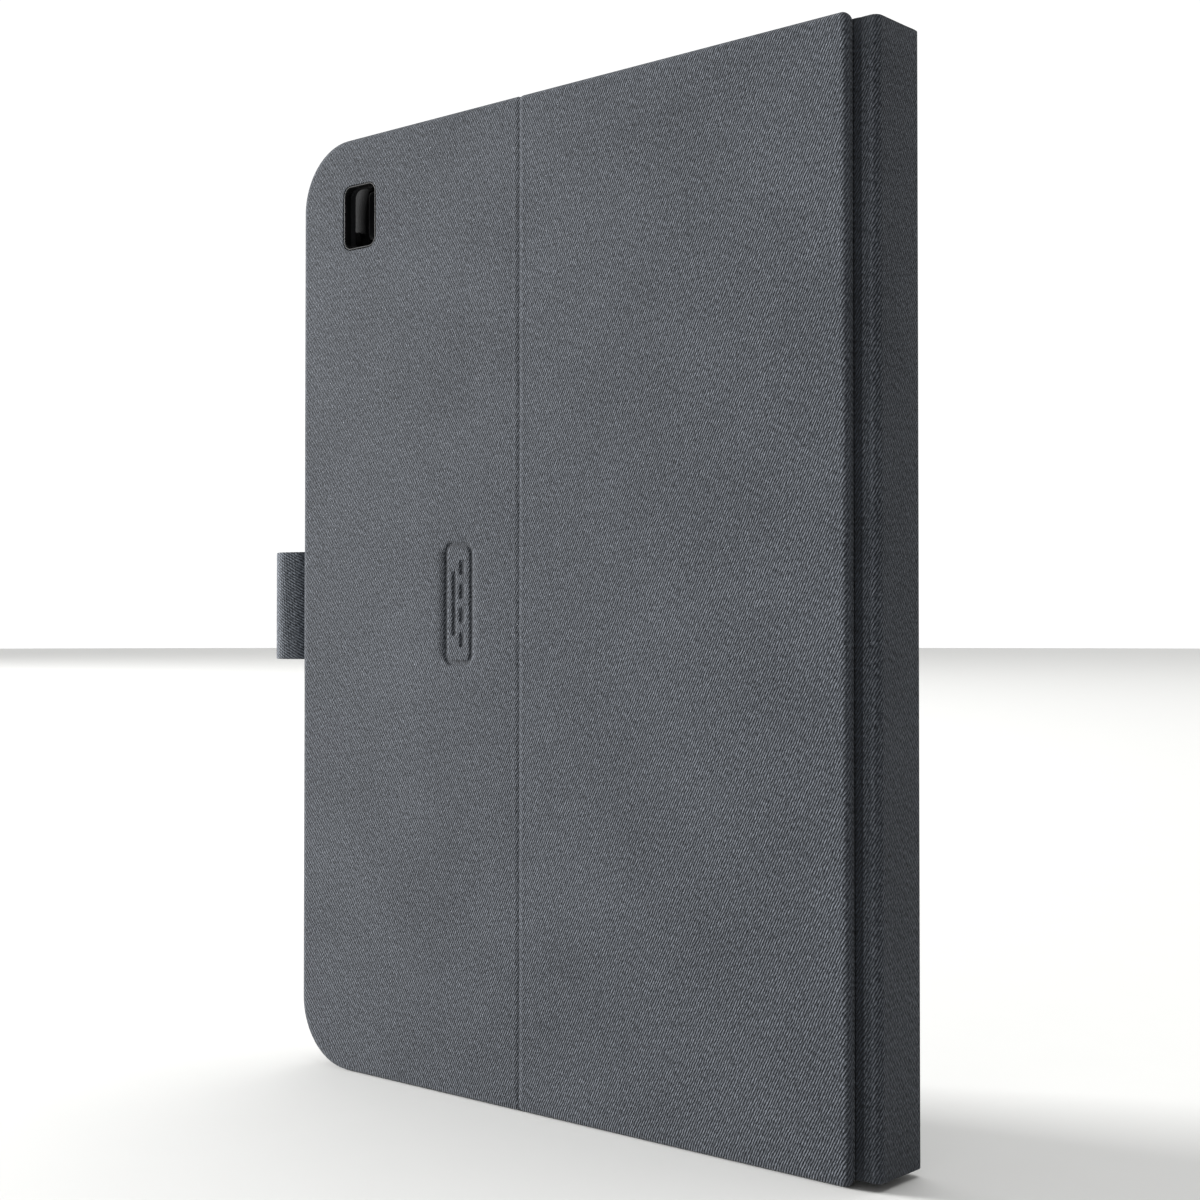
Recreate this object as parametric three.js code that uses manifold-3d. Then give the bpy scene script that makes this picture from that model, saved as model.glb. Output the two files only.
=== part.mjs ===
// Tablet keyboard case: a folio that stands on its short edge, closed.
// Millimetres, +Z up, back cover towards -Y, spine towards +X.
// While sizes are worked out, x = 0 is the groove edge of the back cover and y = 0 its outer face.
import * as THREE from 'three';
import { mergeVertices } from 'three/addons/utils/BufferGeometryUtils.js';
import Module from 'manifold-3d';

const wasm = await Module();
wasm.setup();

// ---------------------------------------------------------------- overall sizes
const TABLET_LONG = 249.4;       // the tablet's own size sets the case's height and width
const TABLET_WIDE = 169.7;
const TABLET_THICK = 7.5;
const FOLD_FROM_GROOVE = 99;     // stand fold, measured from the groove edge
const BLOCK_SETBACK = 1.6;       // tray and keyboard half end this far inside the cover
const FREE_SETBACK = 3;          // tray's setback at the free edge
const PANEL_DEPTH = 2.35;        // back cover panels
const FRONT_DEPTH = 1.95;        // front cover panel
const LID_GAP = 1.5;             // tray to keyboard deck, closed
const FREE_RADIUS = 18;          // corners at the free edge
const HINGE_RADIUS = 2.5;        // corners at the folds
const SKIN = 0.6;                // fabric skin
const GLUE = 0.05;               // glue line between layers
const SKIN_EDGE = 1.0;           // fabric wrapped round the board edges
const EDGE_ROUND = 0.7;
const FOLD_GAP = 0.5;            // half the crease at the stand fold
const STRIP_RADIUS = 0.42;       // flexible strip in the crease

// ---------------------------------------------------------------- spine
const SPINE_OUT = 6.1;           // outer face of the spine
const SPINE_FROM = 1.6;          // near edge of its recessed strip
const SPINE_SKIN = 0.7;
const SPINE_WALL = 2.2;
const SPINE_ROUND = 2;
const SPINE_TOP = 2.4;           // strip lies this far behind the cover's face
const SPINE_END_GAP = 1.9;       // wall stops short of the front face by this much
const SPINE_STRIP = 2;           // thickness of the recessed strip
const HINGE_BEAD = 0.85;         // bead along the front corner
const GROOVE_BEAD = 0.5;

// ---------------------------------------------------------------- tablet tray
const TRAY_WALL = 1.7;
const TRAY_DOCK_WALL = 4.6;      // wall that stands in the keyboard's groove
const TRAY_LIP = 1.1;
const LIP_REACH = 2;
const TRAY_FROM_GROOVE = 4.2;
const TRAY_BASE = 1.65;          // back wall
const BAR_RADIUS = 1.2;          // steel keeper bar in the dock wall
const BAR_PLAY = 0.2;
const BAR_FROM_LIP = 1.9;        // centre of the bar, behind the tray's front

// ---------------------------------------------------------------- camera hole and loop
const HOLE_WIDE = 13.3;
const HOLE_TALL = 18;
const HOLE_ROUND = 2.9;
const HOLE_FROM_FREE = 23.75;
const HOLE_FROM_TOP = 21.85;
const TRIM_WALL = 0.6;
const TRIM_PLAY = 0.1;
const LOOP_RADIUS = 6;
const LOOP_CLOTH = 1.1;
const LOOP_LONG = 30.4;
const LOOP_OUT = 9.2;            // centre of the loop, outside the free edge
const LOOP_HEIGHT = 127.6;       // middle of the loop, above the floor
const STRAP = 0.75;
const STRAP_IN = 12.2;           // strap glued under the tray's back wall

// ---------------------------------------------------------------- keyboard half
const DECK = 0.7;
const CHASSIS_WALL = 1.2;
const CHASSIS_FLOOR = 0.6;
const CHASSIS_SETBACK = 1.8;     // free edge of the chassis, inside the cover's
const CHASSIS_GROOVE = 60;       // its edge at the dock groove
const CHASSIS_INSET = 1.8;       // from the ends of the keyboard half
const CHASSIS_ROUND = 16;
const UNITS = 14.5;              // keyboard length in key units
const KEY_END_MARGIN = 6.425;    // keys to the chassis ends
const KEY_FRONT_MARGIN = 9.2;    // keys to the chassis free edge
const FN_PITCH = 11.2;
const KEY_GAP = 2.4;
const KEY_PLAY = 0.2;
const KEY_PROUD = 0.9;
const KEY_TAPER = 0.45;
const KEY_TRAVEL = 1.1;
const WEB = 0.4;
const KEYS_TO_GROOVE = 20;       // strip behind the function row
const DOME = 0.3;
const FILM = 0.2;
const SWITCH_TRAVEL = 3;

// ---------------------------------------------------------------- derived positions
const COVER_HEIGHT = TABLET_LONG + 2 * (TRAY_WALL + BLOCK_SETBACK);
const COVER_WIDTH = TABLET_WIDE + TRAY_WALL + TRAY_DOCK_WALL + TRAY_FROM_GROOVE + FREE_SETBACK;
const TRAY_BACK = PANEL_DEPTH + 2 * GLUE;
const yCavity0 = TRAY_BACK + TRAY_BASE;
const yCavity1 = yCavity0 + TABLET_THICK;
const yTray1 = yCavity1 + TRAY_LIP;
const yBar = yTray1 - BAR_FROM_LIP;
const DECK_TOP = yTray1 + LID_GAP;
const yDeck1 = DECK_TOP + DECK;
const yWeb = yDeck1 + 2 * GLUE;
const yDome = yWeb + WEB + KEY_TRAVEL + 2 * GLUE;
const yFilm = yDome + DOME + GLUE;
const yPanLow = yFilm + FILM + GLUE;
const yFloor = yPanLow + CHASSIS_FLOOR;
const FRONT_INNER = yFloor + GLUE;
const CASE_DEPTH = FRONT_INNER + FRONT_DEPTH;
const SPINE_END = CASE_DEPTH - SPINE_END_GAP;
const xFree = -COVER_WIDTH;
const xFold = -FOLD_FROM_GROOVE;
const zBlock0 = BLOCK_SETBACK;
const zBlock1 = COVER_HEIGHT - BLOCK_SETBACK;
const zMid = COVER_HEIGHT / 2;
const xTray1 = -TRAY_FROM_GROOVE;
const xCavity1 = xTray1 - TRAY_DOCK_WALL;
const xCavity0 = xCavity1 - TABLET_WIDE;
const xTray0 = xCavity0 - TRAY_WALL;
const zCavity0 = zMid - TABLET_LONG / 2;
const zCavity1 = zMid + TABLET_LONG / 2;
const zTray0 = zCavity0 - TRAY_WALL;
const zTray1 = zCavity1 + TRAY_WALL;
const xBar = xTray1 - TRAY_DOCK_WALL / 2;
const xHole = xFree + HOLE_FROM_FREE;
const zHole = COVER_HEIGHT - HOLE_FROM_TOP;
const xLoop = xFree - LOOP_OUT;
const yLoop = LOOP_RADIUS;
const xChassis0 = xFree + CHASSIS_SETBACK;
const xChassis1 = -CHASSIS_GROOVE;
const zChassis0 = zBlock0 + CHASSIS_INSET;
const zChassis1 = zBlock1 - CHASSIS_INSET;
const PITCH = (zChassis1 - zChassis0 - 2 * KEY_END_MARGIN) / UNITS;
const ROW_PITCH = (xChassis1 - KEYS_TO_GROOVE - FN_PITCH - KEY_FRONT_MARGIN - xChassis0) / 5;
const zKeys1 = zChassis1 - KEY_END_MARGIN;
const shiftX = (COVER_WIDTH + LOOP_OUT + LOOP_RADIUS - SPINE_OUT) / 2;
const shiftY = -CASE_DEPTH / 2;

// ---------------------------------------------------------------- shapes
/** Box from three pairs of limits. */
function slab(x0, x1, y0, y1, z0, z1) {
  const g = new THREE.BoxGeometry(x1 - x0, y1 - y0, z1 - z0);
  return g.translate((x0 + x1) / 2, (y0 + y1) / 2, (z0 + z1) / 2);
}

/** Outline in the X-Z plane with one radius at each X end. */
function outline(x0, x1, z0, z1, r0, r1) {
  const s = new THREE.Shape();
  s.moveTo(x0 + r0, z0);
  s.lineTo(x1 - r1, z0);
  s.absarc(x1 - r1, z0 + r1, r1, -Math.PI / 2, 0);
  s.lineTo(x1, z1 - r1);
  s.absarc(x1 - r1, z1 - r1, r1, 0, Math.PI / 2);
  s.lineTo(x0 + r0, z1);
  s.absarc(x0 + r0, z1 - r0, r0, Math.PI / 2, Math.PI);
  s.lineTo(x0, z0 + r0);
  s.absarc(x0 + r0, z0 + r0, r0, Math.PI, 1.5 * Math.PI);
  return s;
}

/** Plate of an X-Z outline between two depths, its long edges eased. */
function plate(shape, y0, y1, ease = 0, segments = 8) {
  const g = new THREE.ExtrudeGeometry(shape, {
    depth: y1 - y0 - 2 * ease, curveSegments: segments, steps: 1,
    bevelEnabled: ease > 0, bevelSize: ease, bevelThickness: ease,
    bevelOffset: -ease, bevelSegments: 2,
  });
  return g.rotateX(Math.PI / 2).translate(0, y1 - ease, 0);
}

/** Profile in the X-Y plane run along Z. */
function run(points, z0, z1) {
  const s = new THREE.Shape(points.map(([x, y]) => new THREE.Vector2(x, y)));
  const g = new THREE.ExtrudeGeometry(s, { depth: z1 - z0, bevelEnabled: false, steps: 1 });
  return g.translate(0, 0, z0);
}

/** Round bar along Z. */
function bar(x, y, r, z0, z1, sides = 16) {
  const g = new THREE.CylinderGeometry(r, r, z1 - z0, sides);
  return g.rotateX(Math.PI / 2).translate(x, y, (z0 + z1) / 2);
}

/** Round disc across Y. */
function disc(x, z, r, y0, y1, sides = 16) {
  return new THREE.CylinderGeometry(r, r, y1 - y0, sides).translate(x, (y0 + y1) / 2, z);
}

function toSolid(geometry) {
  let g = geometry.clone();
  g.deleteAttribute('normal');
  g.deleteAttribute('uv');
  g = mergeVertices(g, 1e-5);
  return new wasm.Manifold(new wasm.Mesh({
    numProp: 3,
    vertProperties: new Float32Array(g.attributes.position.array),
    triVerts: new Uint32Array(g.index.array),
  }));
}

function toGeometry(solid) {
  const m = solid.getMesh();
  const g = new THREE.BufferGeometry();
  const xyz = new Float32Array(m.numVert * 3);
  for (let i = 0; i < m.numVert; i++) {
    for (let k = 0; k < 3; k++) xyz[3 * i + k] = m.vertProperties[i * m.numProp + k];
  }
  g.setAttribute('position', new THREE.BufferAttribute(xyz, 3));
  g.setIndex(new THREE.BufferAttribute(new Uint32Array(m.triVerts), 1));
  g.computeVertexNormals();
  return g;
}

function cut(body, ...tools) {
  let s = toSolid(body);
  for (const t of tools) s = s.subtract(toSolid(t));
  return toGeometry(s);
}

function join(first, ...rest) {
  let s = toSolid(first);
  for (const t of rest) s = s.add(toSolid(t));
  return toGeometry(s);
}

// ---------------------------------------------------------------- finishes
const finish = (colour, roughness, metalness = 0) =>
  new THREE.MeshStandardMaterial({ color: colour, roughness, metalness });
const twill = () => finish(0x4d535a, 0.95);
const suede = () => finish(0x3a3d42, 0.98);
const board = () => finish(0x8a8377, 0.9);
const black = () => finish(0x1b1c1e, 0.55);
const keyPlastic = () => finish(0x202225, 0.6);
const rubber = () => finish(0x17181a, 0.85);
const steel = () => finish(0x9a9da1, 0.35, 1);

const group = new THREE.Group();
group.name = 'tablet_keyboard_case';

function add(name, geometry, material) {
  const mesh = new THREE.Mesh(geometry.translate(shiftX, shiftY, 0), material);
  mesh.name = name;
  group.add(mesh);
}

// ---------------------------------------------------------------- back cover panels
/** Skin, board and lining of one back cover panel between two X limits. */
function coverPanel(prefix, x0, x1, r0, r1, holes) {
  const z1 = COVER_HEIGHT;
  const inset = (d) => outline(x0 + d, x1 - d, d, z1 - d, Math.max(r0 - d, 0.4), Math.max(r1 - d, 0.4));
  const pocket = plate(inset(SKIN_EDGE), SKIN, PANEL_DEPTH + 1);
  const skin = plate(outline(x0, x1, 0, z1, r0, r1), 0, PANEL_DEPTH, EDGE_ROUND);
  const boardTo = PANEL_DEPTH - 0.6;
  const core = plate(inset(SKIN_EDGE + GLUE), SKIN + GLUE, boardTo);
  const lining = plate(inset(SKIN_EDGE + GLUE), boardTo + GLUE, PANEL_DEPTH);
  add(`${prefix}_skin`, cut(skin, pocket, ...holes()), twill());
  add(`${prefix}_board`, holes().length ? cut(core, ...holes()) : core, board());
  add(`${prefix}_lining`, holes().length ? cut(lining, ...holes()) : lining, suede());
}

/** Rounded camera opening, grown by d on every side. */
function cameraHole(d, y0, y1) {
  const w = HOLE_WIDE / 2 + d;
  const h = HOLE_TALL / 2 + d;
  const r = HOLE_ROUND + d;
  return plate(outline(xHole - w, xHole + w, zHole - h, zHole + h, r, r), y0, y1, 0, 4);
}

coverPanel('upper_cover', xFree, xFold - FOLD_GAP, FREE_RADIUS, HINGE_RADIUS,
  () => [cameraHole(0, -1, CASE_DEPTH)]);
coverPanel('stand_panel', xFold + FOLD_GAP, 0, HINGE_RADIUS, HINGE_RADIUS, () => []);
add('fold_hinge_strip', bar(xFold, 0.9, STRIP_RADIUS, HINGE_RADIUS, COVER_HEIGHT - HINGE_RADIUS, 10), twill());
add('camera_trim', cut(cameraHole(-TRIM_PLAY, 0.15, PANEL_DEPTH),
  cameraHole(-TRIM_PLAY - TRIM_WALL, -1, CASE_DEPTH)), black());

// ---------------------------------------------------------------- tablet tray and keeper bar
{
  const shell = plate(outline(xTray0, xTray1, zTray0, zTray1, 15, 9), TRAY_BACK, yTray1, 0.6, 6);
  const cavity = plate(outline(xCavity0, xCavity1, zCavity0, zCavity1, 13, 7), yCavity0, yCavity1, 0, 6);
  const window_ = plate(outline(xCavity0 + LIP_REACH, xCavity1 - LIP_REACH, zCavity0 + LIP_REACH,
    zCavity1 - LIP_REACH, 11, 6), yCavity0 + 1, CASE_DEPTH, 0, 6);
  const bore = bar(xBar, yBar, BAR_RADIUS + BAR_PLAY, zTray0 - 1, zTray1 + 1, 12);
  const slot0 = yCavity0 + 2;
  const slot1 = slot0 + 3.6;
  const xCentre = (xCavity0 + xCavity1) / 2;
  const strapPocket = slab(xTray0 - 1, xTray0 + STRAP_IN + 0.4, TRAY_BACK - 1, TRAY_BACK + STRAP + 0.15,
    LOOP_HEIGHT - LOOP_LONG / 2 - 0.3, LOOP_HEIGHT + LOOP_LONG / 2 + 0.3);
  const tray = cut(shell, cavity, window_, bore, strapPocket,
    cameraHole(-0.5, -1, yCavity0 + 1),
    slab(xTray0 - 1, xCavity0 + 1, slot0, slot1, zHole - 36, zHole - 2),        // volume keys
    slab(xCentre - 8, xCentre + 8, slot0, slot1, zTray0 - 1, zCavity0 + 1),     // charging socket
    slab(xCentre - 38, xCentre - 16, slot0, slot1, zTray0 - 1, zCavity0 + 1),   // speakers
    slab(xCentre + 16, xCentre + 38, slot0, slot1, zTray0 - 1, zCavity0 + 1),
    slab(xCavity0 + 14, xCavity0 + 30, slot0, slot1, zCavity1 - 1, zTray1 + 1), // power key
    slab(xCavity1 - 30, xCavity1 - 22, slot0, slot1, zCavity1 - 1, zTray1 + 1), // headphone socket
  );
  add('tablet_tray', tray, black());
  add('keeper_bar', bar(xBar, yBar, BAR_RADIUS, zTray0 + 2, zTray1 - 2, 12), steel());
}

// ---------------------------------------------------------------- stylus loop
{
  const z0 = LOOP_HEIGHT - LOOP_LONG / 2;
  const z1 = LOOP_HEIGHT + LOOP_LONG / 2;
  const yStrap = TRAY_BACK + GLUE;
  const ring = cut(join(bar(xLoop, yLoop, LOOP_RADIUS, z0, z1, 32),
    slab(xLoop + LOOP_RADIUS - 2.2, xTray0 + STRAP_IN, yStrap, yStrap + STRAP, z0, z1)),
    bar(xLoop, yLoop, LOOP_RADIUS - LOOP_CLOTH, z0 - 1, z1 + 1, 32));
  add('stylus_loop', ring, twill());
}

// ---------------------------------------------------------------- spine
{
  const a = SPINE_OUT - SPINE_ROUND;
  const b = SPINE_TOP + SPINE_ROUND;
  const arc = (r) => [0, 1, 2, 3, 4, 5, 6].map((i) => {
    const t = -Math.PI / 2 + i * Math.PI / 12;
    return [a + r * Math.cos(t), b + r * Math.sin(t)];
  });
  const inner = SPINE_ROUND - SPINE_SKIN;
  const xIn = SPINE_OUT - SPINE_SKIN;
  const yIn = SPINE_TOP + SPINE_SKIN;
  const skin = run([[SPINE_FROM, SPINE_TOP], ...arc(SPINE_ROUND), [SPINE_OUT, SPINE_END],
    [xIn, SPINE_END], ...arc(inner).reverse(), [SPINE_FROM, yIn]], zBlock0, zBlock1);
  add('spine_skin', skin, twill());
  const yStrip = SPINE_TOP + SPINE_STRIP;
  const xWall = SPINE_OUT - SPINE_WALL;
  const xCore = xWall + 0.7;
  add('spine_board', slab(xCore + GLUE, xIn - GLUE, yStrip + GLUE, SPINE_END, zBlock0, zBlock1), board());
  add('spine_lining', run([[SPINE_FROM, yIn + GLUE], [a, yIn + GLUE], [a, yStrip], [xCore, yStrip],
    [xCore, SPINE_END], [xWall, SPINE_END], [xWall, yStrip], [SPINE_FROM, yStrip]], zBlock0, zBlock1),
    suede());
  add('front_hinge_strip', bar(SPINE_OUT - 0.9, CASE_DEPTH - 0.9, HINGE_BEAD, zBlock0, zBlock1, 16), twill());
  add('groove_strip', bar(SPINE_FROM - 0.7, SPINE_TOP, GROOVE_BEAD, zBlock0, zBlock1, 10), rubber());
}

// ---------------------------------------------------------------- front cover panel
{
  const x0 = xFree + 0.2;
  const x1 = SPINE_OUT - 2.7;
  const r = FREE_RADIUS - BLOCK_SETBACK;
  const inset = (d) => outline(x0 + d, x1 - d, zBlock0 + d, zBlock1 - d, r - d, Math.max(1.6 - d, 0.4));
  const y1 = CASE_DEPTH;
  const skin = plate(outline(x0, x1, zBlock0, zBlock1, r, 1.6), FRONT_INNER, y1, EDGE_ROUND);
  add('front_cover_skin', cut(skin, plate(inset(SKIN_EDGE), FRONT_INNER - 1, y1 - SKIN)), twill());
  add('front_cover_board', plate(inset(SKIN_EDGE + GLUE), FRONT_INNER + 0.5, y1 - SKIN - GLUE), board());
  add('base_lining', plate(inset(SKIN_EDGE + GLUE), FRONT_INNER, FRONT_INNER + 0.5 - GLUE), suede());
}

// ---------------------------------------------------------------- keyboard rows
/** One row of caps joined by the thin carrier under the deck. */
function keyRow(widths, xLow, depth, fromUnit) {
  const caps = [];
  let at = fromUnit;
  for (const w of widths) {
    const zTop = zKeys1 - at * PITCH - KEY_GAP / 2;
    const zLow = zKeys1 - (at + w) * PITCH + KEY_GAP / 2;
    caps.push([xLow + KEY_GAP / 2, xLow + depth - KEY_GAP / 2, zLow, zTop]);
    at += w;
  }
  return caps;
}

/** Cap with sides that draw in towards its top (the -Y face). */
function keyCap([x0, x1, z0, z1]) {
  const g = slab(x0, x1, DECK_TOP - KEY_PROUD, yWeb + WEB / 2, z0, z1);
  const p = g.attributes.position;
  for (let i = 0; i < p.count; i++) {
    if (p.getY(i) < DECK_TOP) {
      p.setX(i, p.getX(i) + (p.getX(i) < (x0 + x1) / 2 ? KEY_TAPER : -KEY_TAPER));
      p.setZ(i, p.getZ(i) + (p.getZ(i) < (z0 + z1) / 2 ? KEY_TAPER : -KEY_TAPER));
    }
  }
  return g;
}

const xKeys1 = xChassis1 - KEYS_TO_GROOVE;
const xFn = xKeys1 - FN_PITCH;
const xRow = (n) => xFn - n * ROW_PITCH;
const ones = (n) => new Array(n).fill(1);
const arrowLow = xRow(5);
const rows = {
  function_key_row: keyRow(new Array(14).fill(UNITS / 14), xFn, FN_PITCH, 0),
  number_key_row: keyRow([...ones(13), 1.5], xRow(1), ROW_PITCH, 0),
  upper_letter_row: keyRow([1.5, ...ones(13)], xRow(2), ROW_PITCH, 0),
  home_letter_row: keyRow([1.75, ...ones(11), 1.75], xRow(3), ROW_PITCH, 0),
  lower_letter_row: keyRow([2.25, ...ones(10), 2.25], xRow(4), ROW_PITCH, 0),
  left_modifier_keys: keyRow([1, 1, 1, 1.25], xRow(5), ROW_PITCH, 0),
  space_bar: keyRow([5], xRow(5), ROW_PITCH, 4.25),
  right_modifier_keys: keyRow([1.25, 1, 1], xRow(5), ROW_PITCH, 9.25),
};
{
  // the up and down keys share one key's depth, the right key closes the row
  const [a, b, c, d] = keyRow([1], arrowLow, ROW_PITCH, 12.5)[0];
  const mid = (a + b) / 2;
  rows.right_modifier_keys.push([a, mid - 0.5, c, d], [mid + 0.5, b, c, d]);
  rows.right_modifier_keys.push(...keyRow([1], arrowLow, ROW_PITCH, 13.5));
}
for (const [name, caps] of Object.entries(rows)) {
  const lim = caps.reduce((m, [a, b, c, d]) =>
    [Math.min(m[0], a), Math.max(m[1], b), Math.min(m[2], c), Math.max(m[3], d)],
    [Infinity, -Infinity, Infinity, -Infinity]);
  const grow = 0.7;
  const web = slab(lim[0] - grow, lim[1] + grow, yWeb, yWeb + WEB, lim[2] - grow, lim[3] + grow);
  add(name, join(web, ...caps.map(keyCap)), keyPlastic());
}

// ---------------------------------------------------------------- deck, chassis and insides
{
  const xStrip = (xKeys1 + xChassis1) / 2;
  const zSwitch = zChassis1 - 24;
  const zLight = zSwitch - 20;
  const edge = outline(xChassis0, xChassis1, zChassis0, zChassis1, CHASSIS_ROUND, 1.5);
  const openings = Object.values(rows).flat().map(([x0, x1, z0, z1]) =>
    slab(x0 - KEY_PLAY, x1 + KEY_PLAY, DECK_TOP - 1, yDeck1 + 1, z0 - KEY_PLAY, z1 + KEY_PLAY));
  add('keyboard_deck', cut(plate(edge, DECK_TOP, yDeck1, 0.15), ...openings,
    slab(xStrip - 1.8, xStrip + 1.8, DECK_TOP - 1, yDeck1 + 1, zSwitch - 4.2, zSwitch + 4.2),
    disc(xStrip, zLight, 1.1, DECK_TOP - 1, yDeck1 + 1, 12)), black());
  add('power_switch', join(slab(xStrip - 1.5, xStrip + 1.5, DECK_TOP - 0.8, yWeb + 0.2,
    zSwitch - SWITCH_TRAVEL / 2 - 2.4, zSwitch - SWITCH_TRAVEL / 2 + 2.4),
    slab(xStrip - 3, xStrip + 3, yWeb, yWeb + WEB, zSwitch - 6.4, zSwitch + 3.4)), finish(0x5c6066, 0.5));
  add('status_light', disc(xStrip, zLight, 1, DECK_TOP, yDeck1, 12), finish(0xd9dde0, 0.3));

  const low = yPanLow;
  const yWall = yDeck1 + GLUE;
  const xPort = xStrip + 1;
  const inside = outline(xChassis0 + CHASSIS_WALL, xChassis1 - CHASSIS_WALL, zChassis0 + CHASSIS_WALL,
    zChassis1 - CHASSIS_WALL, CHASSIS_ROUND - CHASSIS_WALL, 0.5);
  add('keyboard_chassis', cut(plate(edge, yWall, yFloor), plate(inside, yWall - 1, low),
    slab(xPort - 4, xPort + 4, yWall + 0.15, low - 0.05, zChassis1 - 3, zChassis1 + 1)), black());
  const port = plate(outline(xPort - 3.8, xPort + 3.8, zChassis1 - 5.6, zChassis1 - 0.1, 0.3, 0.3),
    yWall + 0.25, low - 0.15);
  add('charging_port', cut(port, slab(xPort - 3.4, xPort + 3.4, yWall + 0.6, low - 0.5,
    zChassis1 - 4.8, zChassis1 + 1)), steel());
  const xIn0 = xKeys1 + 1.6;
  const xIn1 = xChassis1 - CHASSIS_WALL - 0.5;
  add('main_circuit_board', slab(xIn0, xIn1, low - 0.9, low - GLUE, zChassis1 - 62, zChassis1 - 6),
    finish(0x1f4a34, 0.6));
  add('battery_pack', slab(xIn0, xIn1, yWall + 0.3, low - 0.15, zChassis0 + 26, zChassis1 - 70),
    finish(0x6b6e73, 0.5));
  const xFilm0 = xRow(5) + 0.4;
  add('dome_sheet', slab(xFilm0, xKeys1 - 0.4, yDome, yDome + DOME, zChassis0 + KEY_END_MARGIN,
    zKeys1), finish(0xc9ccd0, 0.6));
  add('key_membrane', slab(xFilm0, xKeys1 - 0.4, yFilm, yFilm + FILM, zChassis0 + KEY_END_MARGIN,
    zKeys1), finish(0xb7a77a, 0.4));
  [1, 2].forEach((i) => {
    const z = i === 1 ? zChassis0 + 54.6 : zChassis1 - 54.6;
    add(`closure_magnet_${i}`, slab(xChassis0 + 1.6, xChassis0 + 6.6, yWall + 0.2, low - 0.15, z - 10, z + 10),
      steel());
  });
  [[1, xChassis0 + 4.4, -1], [2, xChassis0 + 4.4, 1], [3, xChassis1 - 4, -1], [4, xChassis1 - 4, 1]]
    .forEach(([i, x, side]) => {
      const inward = i < 3 ? 20.6 : 5.6;
      const z = side < 0 ? zChassis0 + inward : zChassis1 - inward;
      add(`bumper_${i}`, disc(x, z, 2.4, yTray1 + 0.15, DECK_TOP - GLUE, 16), rubber());
    });
}

// ---------------------------------------------------------------- dock rail
{
  const x0 = xChassis1 + 0.4;
  const y0 = yFloor - 1.9;
  const pockets = [];
  [zChassis0 + 46.6, zMid, zChassis1 - 46.6].forEach((z, i) => {
    pockets.push(slab(x0 + 1.8, x0 + 11.4, y0 + 0.6, yFloor + 1, z - 18.2, z + 18.2));
    add(`dock_magnet_${i + 1}`, slab(x0 + 2, x0 + 11.2, y0 + 0.65, yFloor - GLUE, z - 18, z + 18), steel());
  });
  add('dock_rail', cut(plate(outline(x0, x0 + 22, zChassis0, zChassis1, 1.5, 3), y0, yFloor, 0.3), ...pockets),
    black());
}

export default group;
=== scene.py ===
"""Tablet keyboard case: fabric folio with tray, stand fold, keyboard half and stylus loop.

Lengths of the case are in millimetres and are turned to metres once, when a mesh is made. Lights,
the size of the floor and the camera's clipping are in metres.
Drawing axes: x = 0 at the back cover's groove edge, y = 0 at its outer face, z = 0 at the floor.
"""

import logging
import math
from dataclasses import dataclass, field
from enum import Enum
from typing import Callable, Sequence

import bpy
import numpy as np
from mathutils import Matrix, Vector


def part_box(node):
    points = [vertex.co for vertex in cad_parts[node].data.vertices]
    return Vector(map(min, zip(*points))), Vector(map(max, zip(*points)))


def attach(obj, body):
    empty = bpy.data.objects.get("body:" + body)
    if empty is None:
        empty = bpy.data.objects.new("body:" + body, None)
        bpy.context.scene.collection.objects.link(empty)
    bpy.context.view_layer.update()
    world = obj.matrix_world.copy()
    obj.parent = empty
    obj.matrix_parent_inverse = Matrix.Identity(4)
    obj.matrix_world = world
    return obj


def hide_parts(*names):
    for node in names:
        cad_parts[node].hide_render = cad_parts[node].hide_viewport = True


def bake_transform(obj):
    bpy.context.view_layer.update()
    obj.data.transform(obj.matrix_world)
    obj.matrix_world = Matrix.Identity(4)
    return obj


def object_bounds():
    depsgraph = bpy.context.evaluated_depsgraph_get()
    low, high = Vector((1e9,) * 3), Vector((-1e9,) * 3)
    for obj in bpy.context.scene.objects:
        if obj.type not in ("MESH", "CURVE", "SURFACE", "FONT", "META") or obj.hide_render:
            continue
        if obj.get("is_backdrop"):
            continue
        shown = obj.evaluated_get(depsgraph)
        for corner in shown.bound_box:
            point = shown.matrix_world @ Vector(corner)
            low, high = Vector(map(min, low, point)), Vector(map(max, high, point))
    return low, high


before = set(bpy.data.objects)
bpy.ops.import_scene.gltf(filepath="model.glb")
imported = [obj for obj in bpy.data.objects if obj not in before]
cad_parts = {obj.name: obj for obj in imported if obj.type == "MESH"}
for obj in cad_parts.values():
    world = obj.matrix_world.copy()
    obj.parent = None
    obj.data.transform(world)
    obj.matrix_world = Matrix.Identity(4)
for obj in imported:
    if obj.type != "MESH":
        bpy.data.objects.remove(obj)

LOG = logging.getLogger("keyboard_case")
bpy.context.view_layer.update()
MM = 0.001
WEAVE_UNIT = 100.0                      # millimetres of cloth in one unit of the weave map
WAVE_PERIOD = 2.0 * math.pi / 20.0      # length of one band of the wave texture at scale 1


# ------------------------------------------------------------------ colours and nodes
def linear(hex_colour: str) -> tuple[float, float, float, float]:
    """Turns an sRGB hex colour to linear light.

    Args:
        hex_colour: six hex digits.

    Returns:
        Linear red, green and blue, and an opacity of 1.
    """
    srgb = np.array([int(hex_colour[i:i + 2], 16) for i in (0, 2, 4)]) / 255.0
    light = np.where(srgb <= 0.04045, srgb / 12.92, ((srgb + 0.055) / 1.055) ** 2.4)
    return (*light.tolist(), 1.0)


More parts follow.
